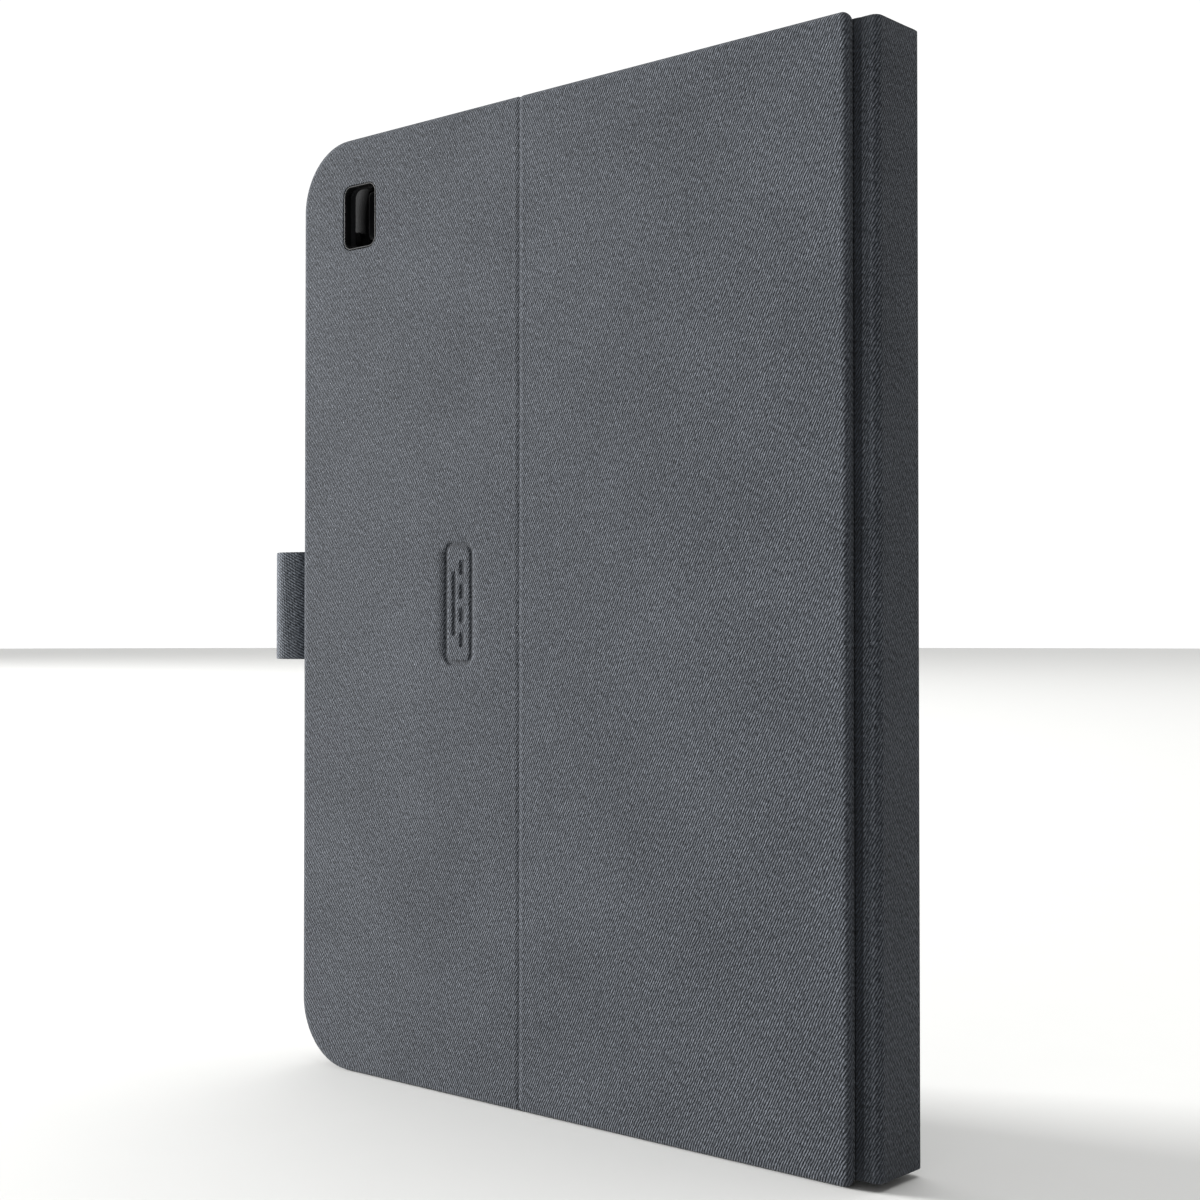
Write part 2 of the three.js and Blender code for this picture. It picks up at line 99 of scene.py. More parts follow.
def add_node(tree: bpy.types.NodeTree, kind: str, links: dict | None = None, **settings) -> bpy.types.Node:
    """Adds a shader node, sets its properties and fills its inputs.

    Args:
        tree: node tree to add to.
        kind: Blender's node type name.
        links: input name or index -> value, or an output socket to link from.
        settings: node properties.

    Returns:
        The new node.
    """
    made = tree.nodes.new(kind)
    for key, value in settings.items():
        setattr(made, key, value)
    for key, value in (links or {}).items():
        if isinstance(value, bpy.types.NodeSocket):
            tree.links.new(value, made.inputs[key])
        else:
            made.inputs[key].default_value = value
    return made


def blank_material(name: str) -> tuple[bpy.types.Material, bpy.types.NodeTree]:
    """Makes an empty node material.

    Args:
        name: material name.

    Returns:
        The material and its node tree.
    """
    made = bpy.data.materials.new(name)
    made.use_nodes = True
    made.node_tree.nodes.clear()
    return made, made.node_tree


class Coordinates(Enum):
    """Where a pattern is laid out: in the object's space or along a woven surface."""

    OBJECT = "object"
    WEAVE = "weave"


def pattern_space(tree: bpy.types.NodeTree, where: Coordinates) -> bpy.types.NodeSocket:
    """Gives a position in millimetres for a pattern.

    Args:
        tree: node tree to add to.
        where: Object coordinates, or the piece's own weave map.

    Returns:
        Output socket of the position.
    """
    if where is Coordinates.OBJECT:
        source = add_node(tree, "ShaderNodeTexCoord").outputs["Object"]
        scale = 1.0 / MM
    else:
        source = add_node(tree, "ShaderNodeUVMap", uv_map="weave").outputs["UV"]
        scale = WEAVE_UNIT
    return add_node(tree, "ShaderNodeVectorMath", {0: source, 1: (scale,) * 3},
                    operation="MULTIPLY").outputs[0]


@dataclass(frozen=True)
class PolyesterTwill:
    """Piece-dyed heather polyester twill, woven: steep ribs, with paler and darker fibres mixed in.

    The eye gets a fine diagonal relief, a salt-and-pepper fleck along the yarns and a dry, dull surface.
    """

    name: str = "heather polyester twill"
    dark: str = "0b0e14"
    middle: str = "272b31"
    light: str = "5f636a"
    worn: str = "4a4e54"         # handled edges
    mark: str = "dcdcdc"         # multiplies the colour inside a heat-pressed mark
    rib_angle: float = 63.0      # degrees above the width of the cloth
    rib_mm: float = 0.62
    float_mm: float = 0.85       # length of one yarn float along a rib
    float_turn: float = -34.0    # degrees that the rows of floats are staggered by
    relief_mm: float = 0.13
    wander_mm: float = 0.4       # how far threads stray from a straight line
    rib_shade: float = 0.36
    heather_shade: float = 0.4
    cloud_shade: float = 0.16

    def material(self) -> bpy.types.Material:
        """Builds the node material.

        Returns:
            The new material.
        """
        made, t = blank_material(self.name)
        cloth = pattern_space(t, Coordinates.WEAVE)
        # threads wander a little, so no rib is ruler-straight
        wander = add_node(t, "ShaderNodeTexNoise", {"Vector": cloth, "Scale": 0.5, "Detail": 1.0})
        drift = add_node(t, "ShaderNodeVectorMath",
                         {0: wander.outputs["Color"], 1: (0.5, 0.5, 0.5)}, operation="SUBTRACT")
        bent = add_node(t, "ShaderNodeVectorMath", {
            0: drift.outputs[0], 1: (self.wander_mm, self.wander_mm, 0.0), 2: cloth},
            operation="MULTIPLY_ADD").outputs[0]
        # x now runs across the ribs, y along them
        turned = add_node(t, "ShaderNodeMapping", {
            "Vector": bent, "Rotation": (0.0, 0.0, math.radians(90.0 - self.rib_angle))}).outputs[0]
        ribs = add_node(t, "ShaderNodeTexWave", {
            "Vector": turned, "Scale": WAVE_PERIOD / self.rib_mm, "Distortion": 0.35,
            "Detail": 1.0, "Detail Scale": 1.4}, wave_type="BANDS", bands_direction="X").outputs["Fac"]
        # each rib is a row of oval floats, the next row half a float further on
        stagger = add_node(t, "ShaderNodeMapping", {
            "Vector": turned, "Rotation": (0.0, 0.0, math.radians(self.float_turn))}).outputs[0]
        floats = add_node(t, "ShaderNodeTexWave", {
            "Vector": stagger, "Scale": WAVE_PERIOD / self.float_mm, "Distortion": 0.6,
            "Detail": 1.0, "Detail Scale": 1.5}, wave_type="BANDS", bands_direction="Y").outputs["Fac"]
        height = add_node(t, "ShaderNodeMath", {0: floats, 1: 0.3, 2: ribs},
                          operation="MULTIPLY_ADD").outputs[0]
        # heather fibres: long along the ribs, short across them
        fibre = add_node(t, "ShaderNodeMapping", {"Vector": turned, "Scale": (3.0, 1.0, 1.0)}).outputs[0]
        fleck = add_node(t, "ShaderNodeTexNoise", {"Vector": fibre, "Scale": 1.0, "Detail": 2.0,
                                                   "Roughness": 0.6}).outputs["Fac"]
        spread = add_node(t, "ShaderNodeMapRange", {"Value": fleck, "From Min": 0.34,
                                                    "From Max": 0.66}).outputs[0]
        heather = add_node(t, "ShaderNodeMath", {0: spread, 1: self.heather_shade},
                           operation="MULTIPLY").outputs[0]
        shade = add_node(t, "ShaderNodeMath", {0: ribs, 1: self.rib_shade, 2: heather},
                         operation="MULTIPLY_ADD").outputs[0]
        # slow clouds, as piece dyeing leaves them
        cloudy = add_node(t, "ShaderNodeTexNoise", {"Vector": cloth, "Scale": 0.03,
                                                    "Detail": 2.0}).outputs["Fac"]
        toned = add_node(t, "ShaderNodeMath", {0: cloudy, 1: self.cloud_shade, 2: shade},
                         operation="MULTIPLY_ADD").outputs[0]
        ramp = add_node(t, "ShaderNodeValToRGB", {"Fac": toned})
        ramp.color_ramp.elements[0].position = 0.12
        ramp.color_ramp.elements[0].color = linear(self.dark)
        ramp.color_ramp.elements[1].position = 0.74
        ramp.color_ramp.elements[1].color = linear(self.light)
        ramp.color_ramp.elements.new(0.42).color = linear(self.middle)
        pressed = add_node(t, "ShaderNodeAttribute", attribute_name="pressed").outputs["Fac"]
        edge = add_node(t, "ShaderNodeAttribute", attribute_name="edge").outputs["Fac"]
        # handled edges go a little paler, a heat-pressed mark a little deeper
        worn = add_node(t, "ShaderNodeMath", {0: edge, 1: fleck}, operation="MULTIPLY").outputs[0]
        paler = add_node(t, "ShaderNodeMix", {0: worn, 6: ramp.outputs["Color"], 7: linear(self.worn)},
                         data_type="RGBA", blend_type="MIX").outputs[2]
        deeper = add_node(t, "ShaderNodeMix", {0: pressed, 6: paler, 7: linear(self.mark)},
                          data_type="RGBA", blend_type="MULTIPLY").outputs[2]
        flatter = add_node(t, "ShaderNodeMapRange", {"Value": pressed, "To Min": 1.0,
                                                     "To Max": 0.1}).outputs[0]
        lifted = add_node(t, "ShaderNodeMath", {0: height, 1: flatter}, operation="MULTIPLY").outputs[0]
        bump = add_node(t, "ShaderNodeBump", {"Height": lifted, "Strength": 1.0,
                                              "Distance": self.relief_mm * MM})
        surface = add_node(t, "ShaderNodeBsdfPrincipled", {
            "Base Color": deeper, "Roughness": 0.9, "Specular IOR Level": 0.2, "Sheen Weight": 0.06,
            "Sheen Roughness": 0.6, "Normal": bump.outputs[0]})
        add_node(t, "ShaderNodeOutputMaterial", {"Surface": surface.outputs[0]})
        return made


@dataclass(frozen=True)
class BrushedMicrofibre:
    """Brushed polyester microfibre, knitted and sanded: a short cloudy nap with faint hand marks."""

    name: str = "brushed microfibre"
    dark: str = "25272a"
    light: str = "3a3c40"
    nap_mm: float = 0.55

    def material(self) -> bpy.types.Material:
        """Builds the node material.

        Returns:
            The new material.
        """
        made, t = blank_material(self.name)
        space = pattern_space(t, Coordinates.OBJECT)
        nap = add_node(t, "ShaderNodeTexNoise", {"Vector": space, "Scale": 1.0 / self.nap_mm, "Detail": 3.0})
        brushed = add_node(t, "ShaderNodeTexNoise", {"Vector": space, "Scale": 0.06, "Detail": 2.0,
                                                     "Distortion": 0.6})
        mix = add_node(t, "ShaderNodeMath", {0: brushed.outputs["Fac"], 1: 1.2, 2: nap.outputs["Fac"]},
                       operation="MULTIPLY_ADD")
        fac = add_node(t, "ShaderNodeMapRange", {"Value": mix.outputs[0], "From Min": 0.8, "From Max": 1.45})
        colour = add_node(t, "ShaderNodeMix", {0: fac.outputs[0], 6: linear(self.dark),
                                               7: linear(self.light)}, data_type="RGBA").outputs[2]
        bump = add_node(t, "ShaderNodeBump", {"Height": nap.outputs["Fac"], "Strength": 0.5,
                                              "Distance": 0.08 * MM})
        surface = add_node(t, "ShaderNodeBsdfPrincipled", {
            "Base Color": colour, "Roughness": 0.95, "Specular IOR Level": 0.15, "Sheen Weight": 0.35,
            "Sheen Roughness": 0.45, "Normal": bump.outputs[0]})
        add_node(t, "ShaderNodeOutputMaterial", {"Surface": surface.outputs[0]})
        return made


@dataclass(frozen=True)
class Moulded:
    """Injection-moulded plastic or rubber with a texture eroded into the mould.

    The eye gets a faint grain in the gloss and slightly uneven colour from flow in the mould.
    """

    name: str
    colour: str
    roughness: float = 0.5
    grain_mm: float = 0.35
    relief_mm: float = 0.012
    ior: float = 1.53
    mottle: float = 0.16
    coat: float = 0.0
    gloss: float = 0.5          # specular level; below 0.5 where dust and texture dull the surface

    def material(self) -> bpy.types.Material:
        """Builds the node material.

        Returns:
            The new material.
        """
        made, t = blank_material(self.name)
        space = pattern_space(t, Coordinates.OBJECT)
        grain = add_node(t, "ShaderNodeTexVoronoi", {"Vector": space, "Scale": 1.0 / self.grain_mm},
                         feature="SMOOTH_F1")
        fine = add_node(t, "ShaderNodeTexNoise", {"Vector": space, "Scale": 2.2 / self.grain_mm,
                                                  "Detail": 2.0})
        flow = add_node(t, "ShaderNodeTexNoise", {"Vector": space, "Scale": 0.04, "Detail": 3.0})
        height = add_node(t, "ShaderNodeMath", {0: fine.outputs["Fac"], 1: 0.5, 2: grain.outputs["Distance"]},
                          operation="MULTIPLY_ADD").outputs[0]
        bump = add_node(t, "ShaderNodeBump", {"Height": height, "Strength": 0.6,
                                              "Distance": self.relief_mm * MM})
        base = linear(self.colour)
        low = tuple(c * (1.0 - self.mottle) for c in base[:3]) + (1.0,)
        high = tuple(min(1.0, c * (1.0 + self.mottle)) for c in base[:3]) + (1.0,)
        colour = add_node(t, "ShaderNodeMix", {0: flow.outputs["Fac"], 6: low, 7: high},
                          data_type="RGBA").outputs[2]
        gloss = add_node(t, "ShaderNodeMapRange", {
            "Value": fine.outputs["Fac"], "To Min": max(0.05, self.roughness - 0.07),
            "To Max": min(1.0, self.roughness + 0.07)}).outputs[0]
        surface = add_node(t, "ShaderNodeBsdfPrincipled", {
            "Base Color": colour, "Roughness": gloss, "IOR": self.ior, "Coat Weight": self.coat,
            "Specular IOR Level": self.gloss, "Normal": bump.outputs[0]})
        add_node(t, "ShaderNodeOutputMaterial", {"Surface": surface.outputs[0]})
        return made


@dataclass(frozen=True)
class Metal:
    """Plated or rolled metal: grinding lines drawn along the part and slightly uneven gloss."""

    name: str
    colour: str
    roughness: float = 0.3
    line_mm: float = 0.25
    along: tuple[float, float, float] = (1.0, 1.0, 0.03)   # stretches the lines along Z

    def material(self) -> bpy.types.Material:
        """Builds the node material.

        Returns:
            The new material.
        """
        made, t = blank_material(self.name)
        space = pattern_space(t, Coordinates.OBJECT)
        drawn = add_node(t, "ShaderNodeMapping", {"Vector": space, "Scale": self.along})
        lines = add_node(t, "ShaderNodeTexNoise", {"Vector": drawn.outputs[0], "Scale": 1.0 / self.line_mm,
                                                   "Detail": 3.0})
        gloss = add_node(t, "ShaderNodeMapRange", {"Value": lines.outputs["Fac"],
                                                   "To Min": self.roughness - 0.1,
                                                   "To Max": self.roughness + 0.15}).outputs[0]
        bump = add_node(t, "ShaderNodeBump", {"Height": lines.outputs["Fac"], "Strength": 0.4,
                                              "Distance": 0.01 * MM})
        surface = add_node(t, "ShaderNodeBsdfPrincipled", {
            "Base Color": linear(self.colour), "Metallic": 1.0, "Roughness": gloss,
            "Normal": bump.outputs[0]})
        add_node(t, "ShaderNodeOutputMaterial", {"Surface": surface.outputs[0]})
        return made


@dataclass(frozen=True)
class PulpBoard:
    """Grey board pressed from waste paper pulp: pale fibres and dark specks in a dry, even grey."""

    name: str = "grey pulp board"
    colour: str = "8b857b"
    pale: str = "a9a399"
    speck: str = "4f4a44"

    def material(self) -> bpy.types.Material:
        """Builds the node material.

        Returns:
            The new material.
        """
        made, t = blank_material(self.name)
        space = pattern_space(t, Coordinates.OBJECT)
        fibres = add_node(t, "ShaderNodeTexNoise", {"Vector": space, "Scale": 1.4, "Detail": 4.0,
                                                    "Distortion": 1.2})
        specks = add_node(t, "ShaderNodeTexVoronoi", {"Vector": space, "Scale": 0.45})
        dots = add_node(t, "ShaderNodeMapRange", {"Value": specks.outputs["Distance"], "From Min": 0.1,
                                                  "From Max": 0.2, "To Min": 1.0, "To Max": 0.0}).outputs[0]
        pale = add_node(t, "ShaderNodeMix", {0: fibres.outputs["Fac"], 6: linear(self.colour),
                                             7: linear(self.pale)}, data_type="RGBA").outputs[2]
        colour = add_node(t, "ShaderNodeMix", {0: dots, 6: pale, 7: linear(self.speck)},
                          data_type="RGBA").outputs[2]
        bump = add_node(t, "ShaderNodeBump", {"Height": fibres.outputs["Fac"], "Strength": 0.4,
                                              "Distance": 0.03 * MM})
        surface = add_node(t, "ShaderNodeBsdfPrincipled", {"Base Color": colour, "Roughness": 0.93,
                                                           "Normal": bump.outputs[0]})
        add_node(t, "ShaderNodeOutputMaterial", {"Surface": surface.outputs[0]})
        return made


# ------------------------------------------------------------------ mesh helpers
@dataclass(frozen=True)
class Drawing:
    """Places drawing millimetres in the row frame, from two corners of the CAD frame."""

    groove_edge: float
    outer_face: float

    @classmethod
    def from_frame(cls) -> "Drawing":
        """Reads the origin of the drawing from the stand panel's skin."""
        low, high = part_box("stand_panel_skin")
        return cls(groove_edge=high.x, outer_face=low.y)

    def place(self, points: np.ndarray) -> np.ndarray:
        """Turns (..., 3) drawing points in mm to metres in the row frame."""
        return points * MM + np.array([self.groove_edge, self.outer_face, 0.0])

    def point(self, x: float, y: float, z: float) -> tuple[float, float, float]:
        """One drawing point in metres."""
        return tuple(self.place(np.array([x, y, z], float)).tolist())

    def limits(self, node: str) -> tuple[np.ndarray, np.ndarray]:
        """Reads the limits of a CAD node.

        Args:
            node: name of the CAD node.

        Returns:
            Its lowest and its highest corner in drawing millimetres.
        """
        low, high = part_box(node)
        shift = np.array([self.groove_edge, self.outer_face, 0.0])
        return (np.array(low) - shift) / MM, (np.array(high) - shift) / MM


DRAWING = Drawing.from_frame()
MATERIALS: dict[str, bpy.types.Material] = {}


def dress(obj: bpy.types.Object, *finishes) -> None:
    """Gives an object the materials of its finishes, each built once.

    Slots are cleared only where there are some, because clearing also resets each face's slot.

    Args:
        obj: piece or CAD node.
        finishes: one finish for each material slot.
    """
    if len(obj.data.materials):
        obj.data.materials.clear()
    for finish in finishes:
        if finish.name not in MATERIALS:
            MATERIALS[finish.name] = finish.material()
        obj.data.materials.append(MATERIALS[finish.name])


def make_piece(name: str, points: np.ndarray, faces: Sequence, cloth: np.ndarray | None = None,
               layers: dict[str, np.ndarray] | None = None, sharp: float = 180.0,
               slots: np.ndarray | None = None) -> bpy.types.Object:
    """Makes a mesh object from whole arrays.

    Args:
        name: piece name.
        points: (n, 3) drawing points in millimetres.
        faces: list of index lists, or an (m, 4) array.
        cloth: (n, 2) weave coordinates in millimetres.
        layers: float attributes per point.
        sharp: edges that turn more than this many degrees are drawn sharp.
        slots: material index of each face.

    Returns:
        The new object, at the origin.
    """
    mesh = bpy.data.meshes.new(name)
    polygons = faces.tolist() if isinstance(faces, np.ndarray) else [list(f) for f in faces]
    mesh.from_pydata(DRAWING.place(points).tolist(), [], polygons)
    mesh.polygons.foreach_set("use_smooth", np.ones(len(mesh.polygons), bool))
    corner = np.empty(len(mesh.loops), np.int32)
    mesh.loops.foreach_get("vertex_index", corner)
    if cloth is not None:
        layer = mesh.uv_layers.new(name="weave")
        layer.data.foreach_set("uv", (cloth[corner] / WEAVE_UNIT).astype(np.float32).ravel())
    for key, values in (layers or {}).items():
        mesh.attributes.new(key, "FLOAT", "POINT").data.foreach_set("value", values.astype(np.float32))
    if slots is not None:
        mesh.polygons.foreach_set("material_index", slots.astype(np.int32))
    mesh.update()
    if sharp < 180.0:
        mesh.set_sharp_from_angle(angle=math.radians(sharp))
    obj = bpy.data.objects.new(name, mesh)
    bpy.context.scene.collection.objects.link(obj)
    return obj


def register(obj: bpy.types.Object, body: str, slot: str, *nodes: str) -> bpy.types.Object:
    """Makes a piece ride on a body and stand for CAD nodes, and logs it.

    Args:
        obj: the piece.
        body: body it moves with.
        slot: material slot of the record; not used.
        nodes: CAD nodes it stands for.

    Returns:
        The piece.
    """
    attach(obj, body)
    if nodes:
        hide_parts(*nodes)
    LOG.info("piece %s on %s: %d faces", obj.name, body, len(obj.data.polygons))
    return obj


def quad_grid(rows: int, columns: int, wrap: bool = False) -> np.ndarray:
    """Faces of a grid of points: each joins two neighbours of one row to the two of the next.

    Args:
        rows: rows of points.
        columns: points in each row.
        wrap: joins the last column to the first.

    Returns:
        (m, 4) point indices.
    """
    i = np.arange(rows - 1)[:, None]
    j = np.arange(columns if wrap else columns - 1)[None, :]
    k = (j + 1) % columns
    return np.stack([i * columns + j, i * columns + k, (i + 1) * columns + k, (i + 1) * columns + j],
                    -1).reshape(-1, 4)


def rounded_distance(x: np.ndarray, z: np.ndarray, cx: float, cz: float, hx: float, hz: float,
                     r: np.ndarray | float) -> np.ndarray:
    """Distance outside a rounded rectangle, negative inside.

    With q = |p - centre| - half size + r on each axis, the distance is the length of q's
    positive part plus the larger of its negative parts, less r.

    Args:
        x: X of the points.
        z: Z of the points.
        cx: X of the centre.
        cz: Z of the centre.
        hx: half the width.
        hz: half the height.
        r: corner radius, one or one per point.

    Returns:
        The distances.
    """
    qx = np.abs(x - cx) - hx + r
    qz = np.abs(z - cz) - hz + r
    return np.hypot(np.maximum(qx, 0), np.maximum(qz, 0)) + np.minimum(np.maximum(qx, qz), 0) - r


def quarter_roll(d: np.ndarray, width: float) -> np.ndarray:
    """Rounded edge: 1 at the outline falling to 0 at `width` inside, along a quarter ellipse."""
    t = 1.0 - np.clip(d / width, 0, 1)
    return 1.0 - np.sqrt(np.maximum(0.0, 1.0 - t * t))


def smooth_step(x: np.ndarray) -> np.ndarray:
    """Cubic ease from 0 to 1 over x from 0 to 1."""
    x = np.clip(x, 0, 1)
    return x * x * (3 - 2 * x)


def rounded_ring(hx: float, hz: float, r: float, corner: int) -> np.ndarray:
    """Points round a rounded rectangle, counter-clockwise: a quarter circle at each corner.

    Args:
        hx: half the width.
        hz: half the height.
        r: corner radius.
        corner: points on each corner arc.

    Returns:
        (4 * corner, 2) points.
    """
    t = np.linspace(0, math.pi / 2, corner)
    arcs = []
    for k, (sx, sz) in enumerate(((1, 1), (-1, 1), (-1, -1), (1, -1))):
        a = t + k * math.pi / 2
        arcs.append(np.stack([sx * (hx - r) + r * np.cos(a), sz * (hz - r) + r * np.sin(a)], -1))
    return np.concatenate(arcs)


# distances in from a rolled edge at which a plate has points, close together where it curves
EDGE_STEPS = np.array([0.0, 0.03, 0.1, 0.22, 0.38, 0.6, 0.93, 1.02, 1.4, 1.9, 2.6, 3.6])


@dataclass
class Hole:
    """Rounded rectangular hole through a plate."""

    x: float
    z: float
    half_x: float
    half_z: float
    radius: float

    def distance(self, x: np.ndarray, z: np.ndarray) -> np.ndarray:
        """Distance outside the hole's edge."""
        return rounded_distance(x, z, self.x, self.z, self.half_x, self.half_z, self.radius)

    def towards(self, x: np.ndarray, z: np.ndarray) -> np.ndarray:
        """Finds the hole's edge on the ray from its centre to each point, by bisection.

        Args:
            x: X of the points.
            z: Z of the points.

        Returns:
            (n, 2) points of the edge.
        """
        ray = np.stack([x - self.x, z - self.z], -1)
        low, high = np.zeros(len(x)), np.ones(len(x))
        for _ in range(40):
            mid = (low + high) / 2
            outside = self.distance(self.x + ray[:, 0] * mid, self.z + ray[:, 1] * mid) > 0
            high = np.where(outside, mid, high)
            low = np.where(outside, low, mid)
        return np.stack([self.x + ray[:, 0] * high, self.z + ray[:, 1] * high], -1)


@dataclass
class SoftPlate:
    """Fabric- or lining-covered plate with rolled edges and rounded corners.

    Front sheet: depth below the face = rim * quarter_roll(d, roll), plus creases and pressed marks,
    where d is the distance in from the outline or a hole. Back sheet: the same roll from the other
    side; a pan also drops to its floor inside the wrapped edge. Both sheets share their borders.
    """

    name: str
    x0: float
    x1: float
    z0: float
    z1: float
    free_radius: float
    hinge_radius: float
    face: float
    inward: int = 1
    thickness: float = 2.3
    rim: float = 1.25
    roll: float = 1.3
    floor: float | None = None
    wall: float = 0.98
    step: float = 4.0
    hole: Hole | None = None
    extra_x: Sequence[float] = ()
    extra_z: Sequence[float] = ()
    relief: Callable[[np.ndarray, np.ndarray], np.ndarray] | None = None
    back_relief: Callable[[np.ndarray, np.ndarray], np.ndarray] | None = None
    pressed: Callable[[np.ndarray, np.ndarray], np.ndarray] | None = None
    nick_at: float | None = None
    nick_depth: float = 0.4
    mark_depth: float = 0.3
    hole_rim: float = 0.45
    hole_roll: float = 0.5

    def _columns(self) -> np.ndarray:
        """Places the grid's columns, close together at both ends, along the corners and at creases.

        Returns:
            X of each column.
        """
        width = self.x1 - self.x0
        arc = 1 - np.cos(np.linspace(0, math.pi / 2, 15))
        near = np.concatenate([EDGE_STEPS, self.free_radius * arc])
        far = width - np.concatenate([EDGE_STEPS, self.hinge_radius * arc])
        even = np.arange(self.free_radius, width - self.hinge_radius - 2, self.step)
        extra = np.array(self.extra_x, float) - self.x0
        every = np.unique(np.round(np.concatenate([near, far, even, extra]), 3))
        keep = np.concatenate([[True], np.diff(every) > 0.02])
        return self.x0 + every[keep]

    def _ends(self, x: np.ndarray) -> np.ndarray:
        """How far each column is pulled in from both ends: r - sqrt(r^2 - d^2) at a corner of
        radius r, d beyond its centre, plus a small dip where a crease meets the outline.

        Args:
            x: X of the columns.

        Returns:
            The distances.
        """
        left = np.clip(self.free_radius - (x - self.x0), 0, None)
        right = np.clip(self.hinge_radius - (self.x1 - x), 0, None)
        nick = 0.0
        if self.nick_at is not None:
            nick = self.nick_depth * np.exp(-((x - self.nick_at) / 0.7) ** 2)
        return nick + (self.free_radius - np.sqrt(np.maximum(self.free_radius ** 2 - left ** 2, 0))
                       + self.hinge_radius - np.sqrt(np.maximum(self.hinge_radius ** 2 - right ** 2, 0)))

    def _outline(self, x: np.ndarray, z: np.ndarray) -> np.ndarray:
        """Distance inside the plate's outline.

        Args:
            x: X of the points.
            z: Z of the points.

        Returns:
            The distances, negative outside.
        """
        cx, cz = (self.x0 + self.x1) / 2, (self.z0 + self.z1) / 2
        r = np.where(x < cx, self.free_radius, self.hinge_radius)
        return -rounded_distance(x, z, cx, cz, (self.x1 - self.x0) / 2, (self.z1 - self.z0) / 2, r)

    def _inside(self, x: np.ndarray, z: np.ndarray) -> np.ndarray:
        """Distance in from the nearer of the outline and the hole.

        Args:
            x: X of the points.
            z: Z of the points.

        Returns:
            The distances.
        """
        d = self._outline(x, z)
        return d if self.hole is None else np.minimum(d, self.hole.distance(x, z))

    def _layout(self) -> tuple[np.ndarray, np.ndarray, np.ndarray]:
        """Lays the plate out flat: a grid that follows the outline, with rings round the hole.

        Rows keep fixed distances from both ends and blend to an even share of the height in the
        middle. Each ring lies a fixed share of the way from the hole's edge to the grid.

        Returns:
            (n, 2) points, (m, 4) faces and a mask of the points on a border.
        """
        xs = self._columns()
        height = self.z1 - self.z0
        middle = np.arange(6, height - 6, self.step)
        extra = np.array(self.extra_z, float) - self.z0
        v = np.unique(np.round(np.concatenate([EDGE_STEPS, height - EDGE_STEPS, middle, extra]), 3))
        v = v[np.concatenate([[True], np.diff(v) > 0.02])] / height
        pull = self._ends(xs)
        x = np.repeat(xs[:, None], len(v), 1)
        span = height - 2 * pull[:, None]
        edge = np.minimum(v, 1 - v) * height
        ease = np.where(v < 0.5, edge, -edge)[None, :]
        z = np.where(v[None, :] < 0.5, self.z0 + pull[:, None] + ease, self.z1 - pull[:, None] + ease)
        blend = smooth_step((np.minimum(v, 1 - v) * height)[None, :] / (height / 2))
        z = z * (1 - blend) + (self.z0 + pull[:, None] + v[None, :] * span) * blend
        flat = np.stack([x, z], -1).reshape(-1, 2)
        nx, nz = x.shape
        faces = np.stack([np.arange(nx - 1)[:, None] * nz + np.arange(nz - 1)[None, :]] * 4, -1)
        faces = faces + np.array([0, nz, nz + 1, 1])
        border = np.zeros((nx, nz), bool)
        border[[0, -1], :] = True
        border[:, [0, -1]] = True
        border = border.ravel()
        if self.hole is None:
            return flat, faces.reshape(-1, 4), border
        h = self.hole
        margin = 2.2
        i0 = int(np.searchsorted(xs, h.x - h.half_x - margin)) - 1
        i1 = int(np.searchsorted(xs, h.x + h.half_x + margin))
        zc = z[(i0 + i1) // 2]
        j0 = int(np.searchsorted(zc, h.z - h.half_z - margin)) - 1
        j1 = int(np.searchsorted(zc, h.z + h.half_z + margin))
        keep = np.ones((nx - 1, nz - 1), bool)
        keep[i0:i1, j0:j1] = False
        loop = np.concatenate([
            np.arange(i0, i1) * nz + j0, i1 * nz + np.arange(j0, j1),
            np.arange(i1, i0, -1) * nz + j1, i0 * nz + np.arange(j1, j0, -1)])
        rim = h.towards(flat[loop, 0], flat[loop, 1])
        # steps that grow away from the hole's rolled edge
        share = np.array([0.0, 0.03, 0.07, 0.13, 0.22, 0.36, 0.6])
        rings = rim[None] + (flat[loop] - rim)[None] * share[:, None, None]
        first = len(flat)
        n = len(loop)
        index = np.concatenate([first + np.arange(len(share) * n).reshape(len(share), n), loop[None]])
        a, b = index[:-1], index[1:]
        ring_faces = np.stack([a, b, np.roll(b, -1, 1), np.roll(a, -1, 1)], -1).reshape(-1, 4)
        flat = np.concatenate([flat, rings.reshape(-1, 2)])
        border = np.concatenate([border, np.arange(len(share) * n) < n])
        faces = np.concatenate([faces[keep], ring_faces])
        used = np.unique(faces)
        new = np.full(len(flat), -1)
        new[used] = np.arange(len(used))
        return flat[used], new[faces], border[used]

